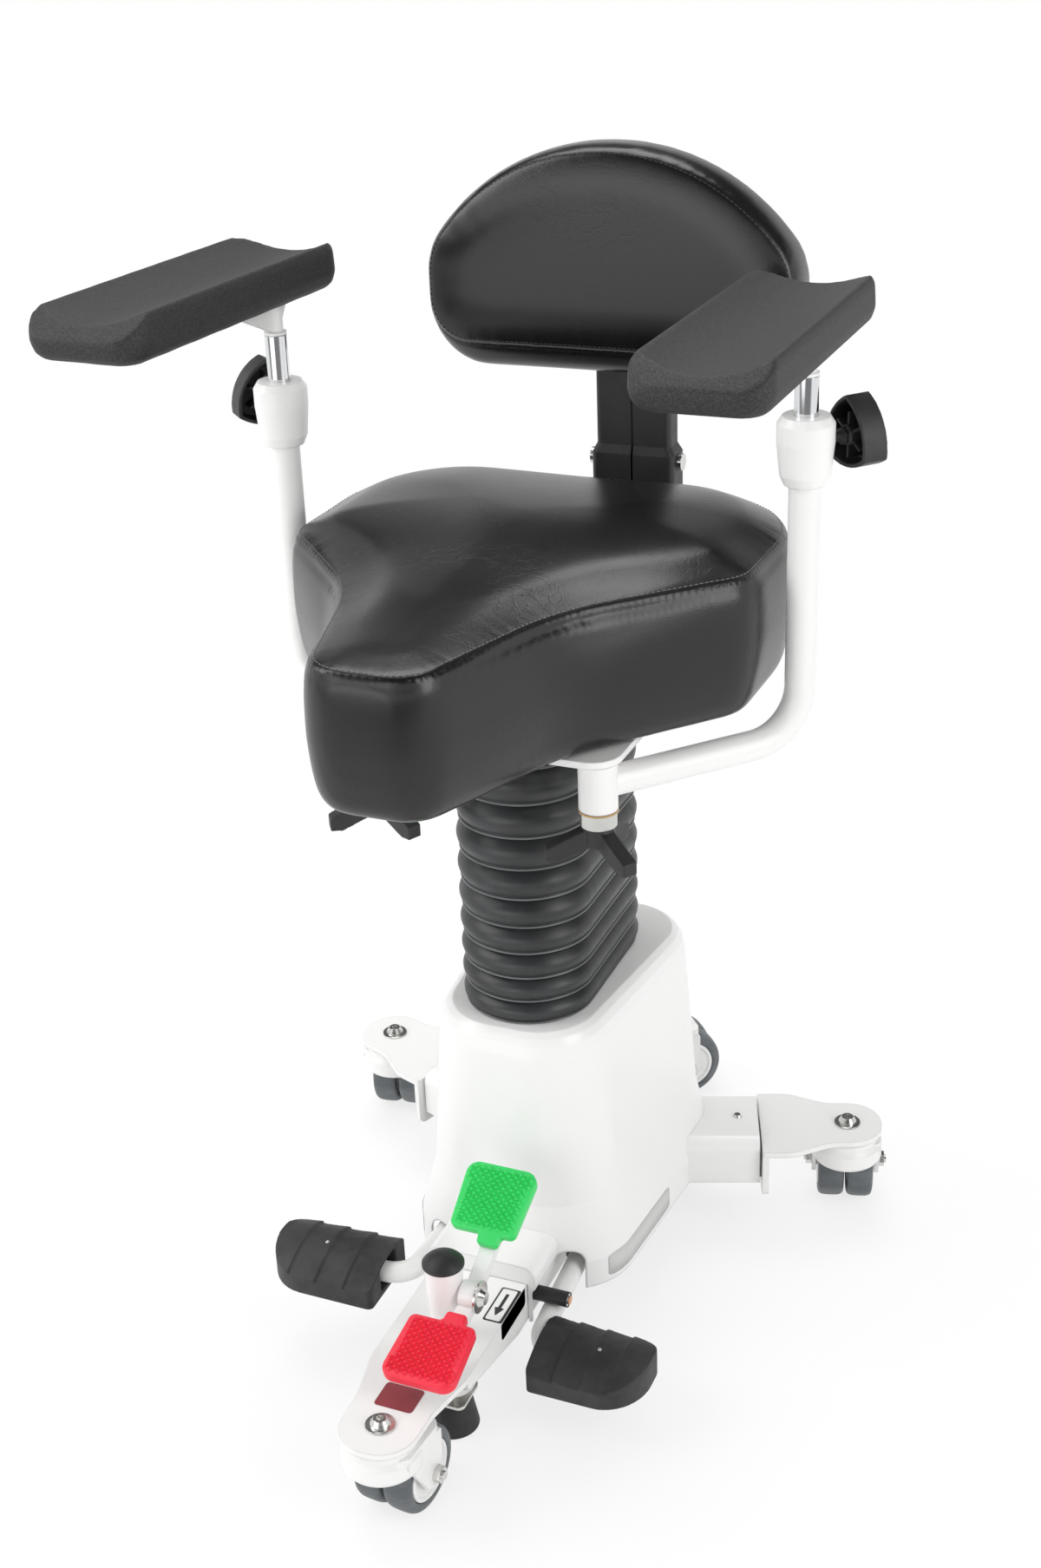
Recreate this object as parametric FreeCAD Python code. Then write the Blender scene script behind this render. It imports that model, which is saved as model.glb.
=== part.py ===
import FreeCAD, Part
import math
import os

# A height-adjustable surgeon's stool on casters, in millimetres.
# +Z is up, the saddle's horn and the pedals point to -Y, the floor is z = 0
# and the hydraulic column stands on the origin.

V = FreeCAD.Vector
UP = V(0, 0, 1)
ALONG_X = V(1, 0, 0)
ALONG_Y = V(0, 1, 0)

# Fits
run_gap = 0.05
seat_gap = 0.3
face_gap = 0.15

# Casters
wheel_radius = 37.5
wheel_width = 26.0
tyre_shoulder = 8.0
twin_gap = 2.0
hub_radius = 27.0
hub_boss_radius = 8.0
axle_radius = 4.0
axle_nut_flats = 13.0
axle_nut_height = 6.0
cheek_thickness = 4.0
wheel_side_gap = 1.6
wheel_roof_gap = 1.5
caster_trail = 28.0
hood_radius = 34.0
hood_cap_radius = 30.0
hood_height = 29.0
caster_gap = 0.6
caster_bolt_radius = 5.0
caster_bolt_depth = 22.0
bolt_head_radius = 8.5
bolt_head_height = 6.0
washer_radius = 12.5
washer_thickness = 1.6

# Legs: distance of each swivel axis from the column, and the way each caster trails
front_reach = 370.0
rear_reach = 300.0
side_reach_x = 245.0
side_reach_y = 166.0
side_leg_angle = 20.0
front_heading = 84.0
rear_heading = 40.0
right_heading = 106.0
left_heading = 100.0
leg_top = 98.0
plate = 6.0
leg_tip_half = 33.0
front_leg_half = 44.0
front_leg_root = -75.0
flange_depth = 34.0
bracket_half = 50.0
bracket_length = 85.0
bracket_drop = 46.0

# Base frame
hub_half = 48.0
hub_front = -64.0
hub_rear = 112.0
hub_low = 50.0
hub_thickness = 12.0
frame_arm_half = 22.0
frame_arm_top = 88.0
frame_arm_root = 76.0
tongue_front = -135.0

# Base cover
cover_wall = 3.0
cover_low = 58.0
cover_skirt = 86.0
cover_waist = 140.0
cover_top = 311.0
cover_front = -108.0
cover_rear = 165.0
cover_front_half = 72.0
cover_rear_half = 103.0
waist_front = -113.0
waist_rear = 170.0
waist_front_half = 83.0
waist_rear_half = 112.0
skirt_front = -120.0
skirt_rear = 174.0
skirt_front_half = 98.0
skirt_rear_half = 122.0
cover_front_corner = 64.0
cover_rear_corner = 60.0
shoulder = 12.0
cover_arm_half = 43.0
cover_arm_top = 106.0
cover_arm_gap = 2.0
hood_half = 52.0
hood_front = -168.0
hood_top = 116.0
pedal_slot_half = 14.0
pedal_slot_top = 98.0
pedal_slot_depth = 120.0
screw_head_radius = 4.5
screw_head_height = 2.4
screw_radius = 2.0
screw_length = 8.0

# Column
cylinder_radius = 33.0
cylinder_bore = 20.0
cylinder_top = 296.0
guide_thickness = 10.0
guide_half = 44.0
ram_radius = 16.0
ram_bottom = 222.0
piston_length = 20.0
rod_radius = 8.0
rod_y = 70.0
rod_bottom = 242.0
bush_radius = 15.0
bush_drop = 40.0

# Bellows: a long oval with ten folds that sag closer together towards the foot
bellows_crest = 60.5
bellows_valley = 50.0
bellows_wall = 2.5
bellows_front_y = -30.0
bellows_rear_y = 75.0
bellows_folds = 10
bellows_foot_share = 0.76
crest_land = 2.4

# Seat
plate_under = 588.0
plate_half = 118.0
plate_front = -130.0
plate_rear = 175.0
plate_corner = 24.0
board_thickness = 8.0
board_inset = 24.0
seat_half = 209.0
seat_shift = -14.0
seat_rear = 192.0
seat_horn_y = -291.0
seat_horn_half = 46.0
seat_waist_half = 90.0
seat_waist_y = -130.0
seat_lobe_y = -16.0
seam_rise = 128.0
crown_rise = 19.0
seat_seam = plate_under + seam_rise
seat_crown = seat_seam + crown_rise
seat_bulge = 2.0

# Arms
pivot_x = 98.0
pivot_y = -108.0
sleeve_radius = 16.0
sleeve_drop = 43.0
sleeve_low = plate_under - sleeve_drop
pin_radius = 10.0
pin_collar_radius = 15.0
pin_collar_height = 12.7
pin_stud_radius = 5.0
pin_stud_length = 20.0
bronze_thickness = 1.6
bronze_radius = 16.6
arm_drop = 22.0
arm_height = plate_under - arm_drop
arm_tube = 12.7
arm_bend = 45.0
right_arm_angle = 49.0
left_arm_angle = 43.7
arm_clear = 26.07457
arm_reach = (seat_half + arm_clear - pivot_x) / math.cos(math.radians(left_arm_angle))
collar_rise = 194.0
collar_length = 55.0
collar_low = plate_under + collar_rise
collar_top = collar_low + collar_length
collar_radius = 23.0
collar_foot_radius = 17.0
post_radius = 9.525
post_bore = 7.05
post_inside = 40.0
post_outside = 31.0
arm_bore_depth = 82.0
post_bottom = collar_low - post_inside
post_top = collar_top + post_outside
arm_bore_low = collar_low - arm_bore_depth
left_post_lift = 8.0
clamp_rise = 33.0
clamp_height = collar_low + clamp_rise
clamp_stud_radius = 4.0
knob_near = 36.0
knob_far = 58.0
knob_reach = 26.0
knob_wall = 3.2
knob_hub_radius = 8.5
star_hub_radius = 13.2
star_hub_height = 17.0
star_reach = 44.0
star_half = 6.5

# Arm rests
rest_length = 315.0
rest_width = 106.0
rest_thickness = 38.0
rest_rise = 28.0
rest_bottom = post_top + rest_rise
rest_ahead = 80.0
right_rest_aside = -15.0
left_rest_aside = -26.0
right_rest_yaw = 0.0
left_rest_yaw = -3.0
rest_corner = 24.0
trough_depth = 11.0
slope_length = 28.0
slope_drop = 19.0
rest_plate_length = 130.0
rest_plate_width = 60.0
rest_plate_thickness = 3.0
spigot_drop = 45.0

# Backrest
bracket_bar_half = 25.0
bracket_bar = 12.0
bracket_start = 142.0
back_y = 265.0
back_pivot_rise = 130.0
back_pivot = plate_under + back_pivot_rise
tongue_thick = 12.0
tongue_over = 14.0
upright_half = 36.0
upright_depth = 28.0
upright_length = 232.0
upright_top = back_pivot + upright_length
boot_half = 40.0
boot_depth = 34.0
boot_drop = 30.0
boot_rise = 8.0
boot_low = back_pivot - boot_drop
boot_top = back_pivot + boot_rise
boot_taper = 8.0
slot_front = 10.0
slot_half = 27.0
back_pin_radius = 4.0
back_pin_head = 8.0
back_pin_head_height = 4.5
back_half = 169.0
back_rise = 94.0
back_seam_rise = 22.5
back_tall = 196.0
back_side_rise = 105.8
back_low = back_pivot + back_rise
back_seam_low = back_low + back_seam_rise
back_high = back_low + back_tall
back_side = back_low + back_side_rise
back_crown_half = 93.3
back_cushion_front = 176.0
back_cushion_rear = 237.7
shell_thickness = 9.0
rail_rise = 38.0
rail_length = 80.0
rail_low = back_low + rail_rise
rail_high = rail_low + rail_length
rail_wall = 6.0

# Pedals
pedal_axis_y = -50.0
pedal_axis_z = 80.0
pedal_shaft_radius = 7.0
pedal_tube = 9.5
pedal_hub_radius = 14.0
pedal_hub_half = 10.0
pedal_arm_x = 62.0
pedal_bend = 24.0
pedal_tube_in = 66.0
raise_y = -186.0
raise_z = 91.0
lower_y = -199.0
lower_z = 57.0
raise_pad_length = 112.0
lower_pad_length = 100.0
pad_half = 33.0
pad_height = 33.0
pad_below = 16.0
raise_setback = 20.0
lower_setback = 6.0
pad_step = 1.6
pad_socket_half = 14.0
plunger_y = -92.0
plunger_radius = 6.0
plunger_head = 10.0
plunger_head_height = 4.0
plunger_gap = 0.5
plunger_bottom = 41.0
pump_boss_radius = 13.0
pump_boss_low = 40.0
pump_boss_top = 51.0
stop_y = -155.0
stop_z = 81.0
stop_radius = 6.0
stop_length = 34.0
lug_thickness = 9.0

# Pivot brake
post_x = 5.0
post_set = 120.0
post_y = post_set - front_reach
post_foot_radius = 12.5
post_head_radius = 17.0
post_height = 73.5
cap_radius = 18.0
cap_rise = 9.0
brake_rod_radius = 7.0
brake_rod_top = 146.0
brake_foot_low = 1.5
brake_foot_height = 31.5
brake_foot_radius = 23.5
brake_foot_neck = 17.5
brake_plate_half = 19.0
brake_plate = 3.0
cup_low = 46.0
cup_radius = 22.0
rocker_z = 145.5
rocker_x = 29.0
rocker_half = 7.0
rocker_hub = 12.0
rocker_bolt_radius = 4.0
rocker_bolt_in = 14.0
rocker_washer_radius = 14.0
green_angle = 28.4
red_angle = -14.0
green_near = 53.0
red_near = 35.5
rocker_pad_x = 21.0
rocker_pad_length = 62.7
rocker_pad_half = 33.0
rocker_pad_near_half = 29.7
rocker_neck_half = 8.0
rocker_neck = 14.0
rocker_pad_thickness = 9.0
rocker_tongue = 4.0
rocker_pad_corner = 11.0

# Worked-out levels
leg_under = leg_top - plate
hood_top_level = leg_under - caster_gap
plate_over = plate_under + plate
board_over = plate_over + board_thickness
cushion_low = board_over + seat_gap
sleeve_top = plate_under - bronze_thickness - face_gap
collar_under = sleeve_low - face_gap - bronze_thickness
guide_top = cylinder_top + guide_thickness
cheek_inside = twin_gap / 2 + wheel_width + wheel_side_gap
cheek_outside = cheek_inside + cheek_thickness

casters = {
    "front": (0.0, -front_reach, front_heading),
    "right": (side_reach_x, side_reach_y, right_heading),
    "left": (-side_reach_x, side_reach_y, left_heading),
    "rear": (0.0, rear_reach, rear_heading),
}
leg_frames = [
    (side_reach_x, side_reach_y, side_leg_angle),
    (-side_reach_x, side_reach_y, 180.0 - side_leg_angle),
    (0.0, rear_reach, 90.0),
]


def box(low, high):
    size = V(*high) - V(*low)
    return Part.makeBox(size.x, size.y, size.z, V(*low))


def rod(radius, start, end):
    span = V(*end) - V(*start)
    return Part.makeCylinder(radius, span.Length, V(*start), span)


def fuse(shapes):
    return shapes[0].multiFuse(shapes[1:]).removeSplitter()


def plan(z):
    return lambda u, v: V(u, v, z)


def upright_plane(y):
    return lambda u, v: V(u, y, v)


def side_plane(x):
    return lambda u, v: V(x, u, v)


def rounded_wire(points, radii, place, inset=0.0):
    """A closed outline of straight runs and tangent arcs, counter-clockwise, moved in by inset."""
    count = len(points)
    runs = []
    for i in range(count):
        start, end = points[i], points[(i + 1) % count]
        length = math.hypot(end[0] - start[0], end[1] - start[1])
        ux, uy = (end[0] - start[0]) / length, (end[1] - start[1]) / length
        runs.append((start[0] - uy * inset, start[1] + ux * inset, ux, uy))
    arcs = []
    for i in range(count):
        px, py, ux, uy = runs[i - 1]
        qx, qy, vx, vy = runs[i]
        cross = ux * vy - uy * vx
        reach = ((qx - px) * vy - (qy - py) * vx) / cross
        corner = (px + reach * ux, py + reach * uy)
        turn = math.atan2(cross, ux * vx + uy * vy)
        side = math.copysign(1.0, turn)
        radius = radii[i] - side * inset
        tangent = radius * math.tan(abs(turn) / 2)
        first = (corner[0] - ux * tangent, corner[1] - uy * tangent)
        last = (corner[0] + vx * tangent, corner[1] + vy * tangent)
        centre = (first[0] - uy * radius * side, first[1] + ux * radius * side)
        away = math.hypot(corner[0] - centre[0], corner[1] - centre[1])
        middle = (centre[0] + (corner[0] - centre[0]) * radius / away,
                  centre[1] + (corner[1] - centre[1]) * radius / away)
        arcs.append((first, middle, last))
    edges = []
    for i in range(count):
        first, middle, last = [place(*p) for p in arcs[i]]
        edges.append(Part.Arc(first, middle, last).toShape())
        edges.append(Part.LineSegment(last, place(*arcs[(i + 1) % count][0])).toShape())
    return Part.Wire(edges)


def mirrored(half, radii):
    """The whole outline of a shape that is the same on both sides of x = 0."""
    other = [(-x, y) for x, y in reversed(half)]
    return half + other, radii + list(reversed(radii))


def prism(wire, push):
    return Part.Face(wire).extrude(push)


def loft(wires):
    return Part.makeLoft(wires, True, True)


def polygon_wire(points, place):
    corners = [place(*p) for p in points]
    return Part.makePolygon(corners + corners[:1])


def bent_tube(points, bend, radius):
    """A round bar along straight runs joined by arcs of one bend radius."""
    points = [V(*p) for p in points]
    edges = []
    here = points[0]
    for i in range(1, len(points) - 1):
        come = (points[i] - points[i - 1]).normalize()
        go = (points[i + 1] - points[i]).normalize()
        half_turn = come.getAngle(go) / 2
        back = bend * math.tan(half_turn)
        first = points[i] - come * back
        last = points[i] + go * back
        inward = (go - come).normalize()
        middle = points[i] + inward * (bend / math.cos(half_turn) - bend)
        edges.append(Part.LineSegment(here, first).toShape())
        edges.append(Part.Arc(first, middle, last).toShape())
        here = last
    edges.append(Part.LineSegment(here, points[-1]).toShape())
    ring = Part.Wire(Part.makeCircle(radius, points[0], points[1] - points[0]))
    return Part.Wire(edges).makePipeShell([ring], True, False)


def turned(points, place=upright_plane(0.0)):
    """A solid of revolution about the Z axis from a profile of (radius, height) points."""
    return Part.Face(polygon_wire(points, place)).revolve(V(0, 0, 0), UP, 360)


def put(shape, x, y, angle):
    placed = shape.copy()
    placed.Placement = FreeCAD.Placement(V(x, y, 0), FreeCAD.Rotation(UP, angle))
    return placed


def mirror_x(shape):
    return shape.mirror(V(0, 0, 0), ALONG_X)


def hexagon(flats, height, centre, axis):
    corner = flats / math.sqrt(3)
    ring = [V(corner * math.cos(math.radians(60 * i)), corner * math.sin(math.radians(60 * i)), 0)
            for i in range(6)]
    nut = Part.Face(Part.makePolygon(ring + ring[:1])).extrude(V(0, 0, height))
    nut.Placement = FreeCAD.Placement(V(*centre), FreeCAD.Rotation(UP, V(*axis)))
    return nut


# Casters, built about their own swivel axis with the axle along Y behind it

def caster_housing():
    top = hood_top_level
    low = top - hood_height
    hood = turned([(0, low), (hood_radius - 2, low), (hood_radius, low + 3), (hood_radius, top - 13),
                   (hood_cap_radius, top - 9), (hood_cap_radius, top - 3), (hood_cap_radius - 3, top),
                   (0, top)])
    roof_low = 2 * wheel_radius - 3
    roof_rear = caster_trail + 12
    roof_points = [(-16, -cheek_outside), (roof_rear, -cheek_outside),
                   (roof_rear, cheek_outside), (-16, cheek_outside)]
    roof = prism(rounded_wire(roof_points, [10, 10, 10, 10], plan(roof_low)), V(0, 0, 12))
    boss = axle_radius + 7
    cheek_points = [(caster_trail - boss, wheel_radius - boss), (caster_trail + boss, wheel_radius - boss),
                    (roof_rear - 1, roof_low + 6), (-15, roof_low + 6)]
    cheek = prism(rounded_wire(cheek_points, [9, 9, 3, 3], upright_plane(-cheek_outside)),
                  V(0, cheek_thickness, 0))
    other = cheek.copy()
    other.translate(V(0, cheek_outside + cheek_inside, 0))
    housing = fuse([hood, roof, cheek, other])
    wheel_room = rod(wheel_radius + wheel_roof_gap, (caster_trail, -cheek_inside, wheel_radius),
                     (caster_trail, cheek_inside, wheel_radius))
    axle_hole = rod(axle_radius + run_gap, (caster_trail, -60, wheel_radius), (caster_trail, 60, wheel_radius))
    bolt_hole = rod(caster_bolt_radius + run_gap, (0, 0, top - caster_bolt_depth), (0, 0, top + 1))
    return housing.cut(wheel_room).cut(axle_hole).cut(bolt_hole)


def caster_axle():
    reach = cheek_outside + axle_nut_height + 2
    axle = rod(axle_radius, (caster_trail, -reach, wheel_radius), (caster_trail, reach, wheel_radius))
    nuts = [hexagon(axle_nut_flats, axle_nut_height, (caster_trail, side * cheek_outside, wheel_radius),
                    (0, side, 0)) for side in (-1, 1)]
    return fuse([axle] + nuts)


def caster_wheel(side):
    inner = twin_gap / 2
    outer = inner + wheel_width
    bore = axle_radius + run_gap
    shoulder_point = tyre_shoulder * (1 - math.sqrt(0.5))
    place = plan(0.0)
    run = [(bore, face_gap), (hub_boss_radius, face_gap), (hub_boss_radius, inner),
           (wheel_radius - tyre_shoulder, inner)]
    edges = [Part.LineSegment(place(*run[i]), place(*run[i + 1])).toShape() for i in range(len(run) - 1)]
    edges.append(Part.Arc(place(*run[-1]), place(wheel_radius - shoulder_point, inner + shoulder_point),
                          place(wheel_radius, inner + tyre_shoulder)).toShape())
    edges.append(Part.LineSegment(place(wheel_radius, inner + tyre_shoulder),
                                  place(wheel_radius, outer - tyre_shoulder)).toShape())
    edges.append(Part.Arc(place(wheel_radius, outer - tyre_shoulder),
                          place(wheel_radius - shoulder_point, outer - shoulder_point),
                          place(wheel_radius - tyre_shoulder, outer)).toShape())
    boss_end = cheek_inside - seat_gap
    back = [(wheel_radius - tyre_shoulder, outer), (hub_radius + 1, outer), (hub_radius + 1, outer - 1.2),
            (hub_radius, outer - 1.2), (hub_radius, outer), (hub_radius - 4, outer),
            (hub_radius - 5, outer - 1.5), (hub_boss_radius, outer - 1.5), (hub_boss_radius, boss_end),
            (bore, boss_end), (bore, face_gap)]
    edges += [Part.LineSegment(place(*back[i]), place(*back[i + 1])).toShape() for i in range(len(back) - 1)]
    wheel = Part.Face(Part.Wire(edges)).revolve(V(0, 0, 0), ALONG_Y, 360)
    if side < 0:
        wheel = wheel.mirror(V(0, 0, 0), ALONG_Y)
    wheel.translate(V(caster_trail, 0, wheel_radius))
    return wheel


# Base

def base_frame():
    hub_top = hub_low + hub_thickness
    hub_points = [(-hub_half, hub_front), (hub_half, hub_front), (hub_half, hub_rear), (-hub_half, hub_rear)]
    pieces = [prism(rounded_wire(hub_points, [12, 12, 12, 12], plan(hub_low)), V(0, 0, hub_thickness))]
    for x, y, angle in leg_frames:
        inner = -math.hypot(x, y) + frame_arm_root
        arm = box((inner, -frame_arm_half, hub_low), (-bracket_length, frame_arm_half, frame_arm_top))
        pieces.append(put(arm, x, y, angle))
    tongue_half = front_leg_half - plate - seat_gap
    pieces.append(box((-tongue_half, tongue_front, hub_low), (tongue_half, hub_front + 4, leg_under)))
    for side in (-1, 1):
        lug_x = side * (hub_half - lug_thickness / 2)
        lug = box((lug_x - lug_thickness / 2, pedal_axis_y - 13, hub_low),
                  (lug_x + lug_thickness / 2, pedal_axis_y + 13, pedal_axis_z + 13))
        pieces.append(lug)
    boss = rod(pump_boss_radius, (-pedal_arm_x, plunger_y, pump_boss_low), (-pedal_arm_x, plunger_y, pump_boss_top))
    web = box((-pedal_arm_x, plunger_y - 8, pump_boss_low), (-hub_half + 14, hub_front + 8, pump_boss_top))
    frame = fuse(pieces + [boss, web])
    shaft_hole = rod(pedal_shaft_radius + run_gap, (-hub_half - 5, pedal_axis_y, pedal_axis_z),
                     (hub_half + 5, pedal_axis_y, pedal_axis_z))
    plunger_hole = rod(plunger_radius + run_gap, (-pedal_arm_x, plunger_y, pump_boss_low - 1),
                       (-pedal_arm_x, plunger_y, pump_boss_top + 1))
    return frame.cut(shaft_hole).cut(plunger_hole)


def front_leg():
    half = [(leg_tip_half, -front_reach - leg_tip_half), (leg_tip_half + 1, -front_reach + 26),
            (front_leg_half, -front_reach + 72), (front_leg_half, front_leg_root)]
    points, radii = mirrored(half, [leg_tip_half - 2, 50.0, 50.0, 2.0])
    top = prism(rounded_wire(points, radii, plan(leg_under)), V(0, 0, plate))
    flange_low = leg_under - flange_depth
    side = [(front_leg_root, leg_under), (front_leg_root, flange_low), (post_y + 60, flange_low + 2),
            (-front_reach + 74, leg_under - 7), (-front_reach + 74, leg_under)]
    right = prism(polygon_wire(side, side_plane(front_leg_half - plate)), V(plate, 0, 0))
    post = Part.makeCone(post_foot_radius, post_head_radius, post_height, V(post_x, post_y, leg_top), UP)
    leg = fuse([top, right, mirror_x(right), post])
    rod_hole = rod(brake_rod_radius + run_gap, (post_x, post_y, leg_under - 1), (post_x, post_y, leg_top + post_height + 1))
    bolt_hole = rod(rocker_bolt_radius + run_gap, (post_x, post_y, rocker_z),
                    (post_x + post_head_radius + 5, post_y, rocker_z))
    swivel_hole = rod(caster_bolt_radius + run_gap, (0, -front_reach, 0), (0, -front_reach, leg_top + 1))
    return leg.cut(rod_hole).cut(bolt_hole).cut(swivel_hole)


def leg_bracket(x, y, angle):
    inner = -bracket_length
    half = [(inner, -bracket_half), (inner + 30, -bracket_half), (-18, -leg_tip_half),
            (leg_tip_half, -leg_tip_half)]
    points = half + [(s, -t) for s, t in reversed(half)]
    corner_radii = [2.0, 34.0, 40.0, leg_tip_half - 2]
    top = prism(rounded_wire(points, corner_radii + corner_radii[::-1], plan(leg_under)), V(0, 0, plate))
    flange_points = [(-bracket_half, leg_under - bracket_drop), (bracket_half, leg_under - bracket_drop),
                     (bracket_half, leg_under), (-bracket_half, leg_under)]
    flange = prism(rounded_wire(flange_points, [8, 8, 1, 1], side_plane(inner)), V(plate, 0, 0))
    bracket = fuse([top, flange])
    bracket = bracket.cut(rod(caster_bolt_radius + run_gap, (0, 0, 0), (0, 0, leg_top + 1)))
    return put(bracket, x, y, angle)


def cover_skin(inset, drop):
    """The cover's outer form, or with inset and drop the hollow inside it."""
    top = cover_top - drop
    skirt = [(skirt_front_half, skirt_front), (skirt_rear_half, skirt_rear)]
    waist = [(waist_front_half, waist_front), (waist_rear_half, waist_rear)]
    neck = [(cover_front_half, cover_front), (cover_rear_half, cover_rear)]
    levels = [
        (cover_low - drop, skirt, 0.0), (cover_skirt, skirt, 0.0), (cover_waist, waist, 0.0),
        (top - 20, neck, 0.0), (top - 10, neck, 0.2 * shoulder), (top - 4, neck, 0.55 * shoulder),
        (top, neck, shoulder),
    ]
    wires = []
    for z, half, step in levels:
        points, radii = mirrored(half, [cover_front_corner, cover_rear_corner])
        wires.append(rounded_wire(points, radii, plan(z), step + inset))
    return loft(wires)


def cover_arm(x, y, angle, inset):
    """A moulded sleeve over one arm of the frame, open at its outer end and underneath."""
    half = cover_arm_half - inset
    inner = -math.hypot(x, y) + 90 + inset
    points = [(-half, cover_low - inset), (half, cover_low - inset), (half, cover_arm_top - inset),
              (-half, cover_arm_top - inset)]
    end = -bracket_length - cover_arm_gap + inset
    sleeve = prism(rounded_wire(points, [1, 1, 12 - inset, 12 - inset], side_plane(inner)), V(end - inner, 0, 0))
    return put(sleeve, x, y, angle)


def cover_hood(inset):
    half = hood_half - inset
    points = [(-half, cover_low - inset), (half, cover_low - inset), (half, hood_top - inset),
              (-half, hood_top - inset)]
    wire = rounded_wire(points, [1, 1, 12 - inset, 12 - inset], upright_plane(hood_front + inset))
    return prism(wire, V(0, cover_front + 30 - hood_front, 0))


def oval_wire(radius, z):
    points = [(-radius, bellows_front_y - radius), (radius, bellows_front_y - radius),
              (radius, bellows_rear_y + radius), (-radius, bellows_rear_y + radius)]
    return rounded_wire(points, [radius - 0.2] * 4, plan(z))


def base_cover():
    outer = fuse([cover_skin(0.0, 0.0), cover_hood(0.0)] + [cover_arm(*leg, 0.0) for leg in leg_frames])
    hollow = fuse([cover_skin(cover_wall, cover_wall), cover_hood(cover_wall)]
                  + [cover_arm(*leg, cover_wall) for leg in leg_frames])
    cover = outer.cut(hollow)
    cover = cover.cut(prism(oval_wire(bellows_valley - bellows_wall, cover_top - 10), V(0, 0, 20)))
    leg_room = front_leg_half + 1
    cover = cover.cut(box((-leg_room, hood_front - 5, 0), (leg_room, cover_front + 20, leg_top + seat_gap)))
    for side in (-1, 1):
        x = side * pedal_arm_x
        slot_points = [(x - pedal_slot_half, 0), (x + pedal_slot_half, 0),
                       (x + pedal_slot_half, pedal_slot_top), (x - pedal_slot_half, pedal_slot_top)]
        arch = rounded_wire(slot_points, [1, 1, pedal_slot_half - 1, pedal_slot_half - 1],
                            upright_plane(cover_front - pedal_slot_depth / 2))
        cover = cover.cut(prism(arch, V(0, pedal_slot_depth, 0)))
    for screw in cover_screw_spots():
        hole = rod(screw_radius + run_gap, (screw[0], screw[1], screw[2] - screw_length), screw)
        cover = cover.cut(hole)
    return cover


def cover_screw_spots():
    spots = [(0.0, hood_front + 16, hood_top)]
    for x, y, angle in leg_frames:
        back = bracket_length + 22
        turn = math.radians(angle)
        spots.append((x - back * math.cos(turn), y - back * math.sin(turn), cover_arm_top))
    return spots


def base_fasteners():
    pieces = []
    for x, y, _ in casters.values():
        shank = rod(caster_bolt_radius, (x, y, hood_top_level - caster_bolt_depth + 1), (x, y, leg_top + 1))
        washer = rod(washer_radius, (x, y, leg_top), (x, y, leg_top + washer_thickness))
        crown = leg_top + washer_thickness
        head = turned([(0, crown), (bolt_head_radius, crown), (bolt_head_radius, crown + 1.5),
                       (bolt_head_radius - 3, crown + bolt_head_height), (0, crown + bolt_head_height)])
        head.translate(V(x, y, 0))
        socket = hexagon(5.0, 4.0, (x, y, crown + bolt_head_height - 3), (0, 0, 1))
        pieces.append(fuse([shank, washer, head]).cut(socket))
    for x, y, z in cover_screw_spots():
        shank = rod(screw_radius, (x, y, z - screw_length), (x, y, z + 1))
        head = Part.makeCone(screw_head_radius, screw_head_radius - 1.5, screw_head_height, V(x, y, z), UP)
        pieces.append(fuse([shank, head]))
    outside = rocker_x + rocker_half + face_gap
    shank = rod(rocker_bolt_radius, (rocker_bolt_in, post_y, rocker_z), (outside + 1, post_y, rocker_z))
    washer = rod(rocker_washer_radius, (outside, post_y, rocker_z), (outside + 2, post_y, rocker_z))
    head = Part.makeCone(bolt_head_radius, bolt_head_radius - 3, 5, V(outside + 2, post_y, rocker_z), ALONG_X)
    pieces.append(fuse([shank, washer, head]))
    return Part.makeCompound(pieces)


# Column

def hydraulic_cylinder():
    low = hub_low + hub_thickness
    barrel = rod(cylinder_radius, (0, 0, low), (0, 0, cylinder_top))
    foot = rod(cylinder_radius + 6, (0, 0, low), (0, 0, low + 10))
    band = rod(cylinder_radius + 2, (0, 0, cylinder_top - 26), (0, 0, cylinder_top - 8))
    bore = rod(cylinder_bore, (0, 0, low + 8), (0, 0, cylinder_top + 1))
    return fuse([barrel, foot, band]).cut(bore)


def column_guide():
    points = [(-guide_half, -guide_half), (guide_half, -guide_half), (guide_half, rod_y + 26),
              (-guide_half, rod_y + 26)]
    top = prism(rounded_wire(points, [guide_half - 2, guide_half - 2, 24, 24], plan(cylinder_top)),
                V(0, 0, guide_thickness))
    bush = rod(bush_radius, (0, rod_y, cylinder_top - bush_drop), (0, rod_y, cylinder_top + 1))
    guide = fuse([top, bush])
    ram_hole = rod(ram_radius + run_gap, (0, 0, cylinder_top - 1), (0, 0, guide_top + 1))
    rod_hole = rod(rod_radius + run_gap, (0, rod_y, 0), (0, rod_y, guide_top + 1))
    return guide.cut(ram_hole).cut(rod_hole)


def hydraulic_ram():
    shaft = rod(ram_radius, (0, 0, ram_bottom), (0, 0, plate_under))
    piston = rod(cylinder_bore - run_gap, (0, 0, ram_bottom), (0, 0, ram_bottom + piston_length))
    return fuse([shaft, piston])


def guide_rod():
    return rod(rod_radius, (0, rod_y, rod_bottom), (0, rod_y, plate_under))


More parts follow.
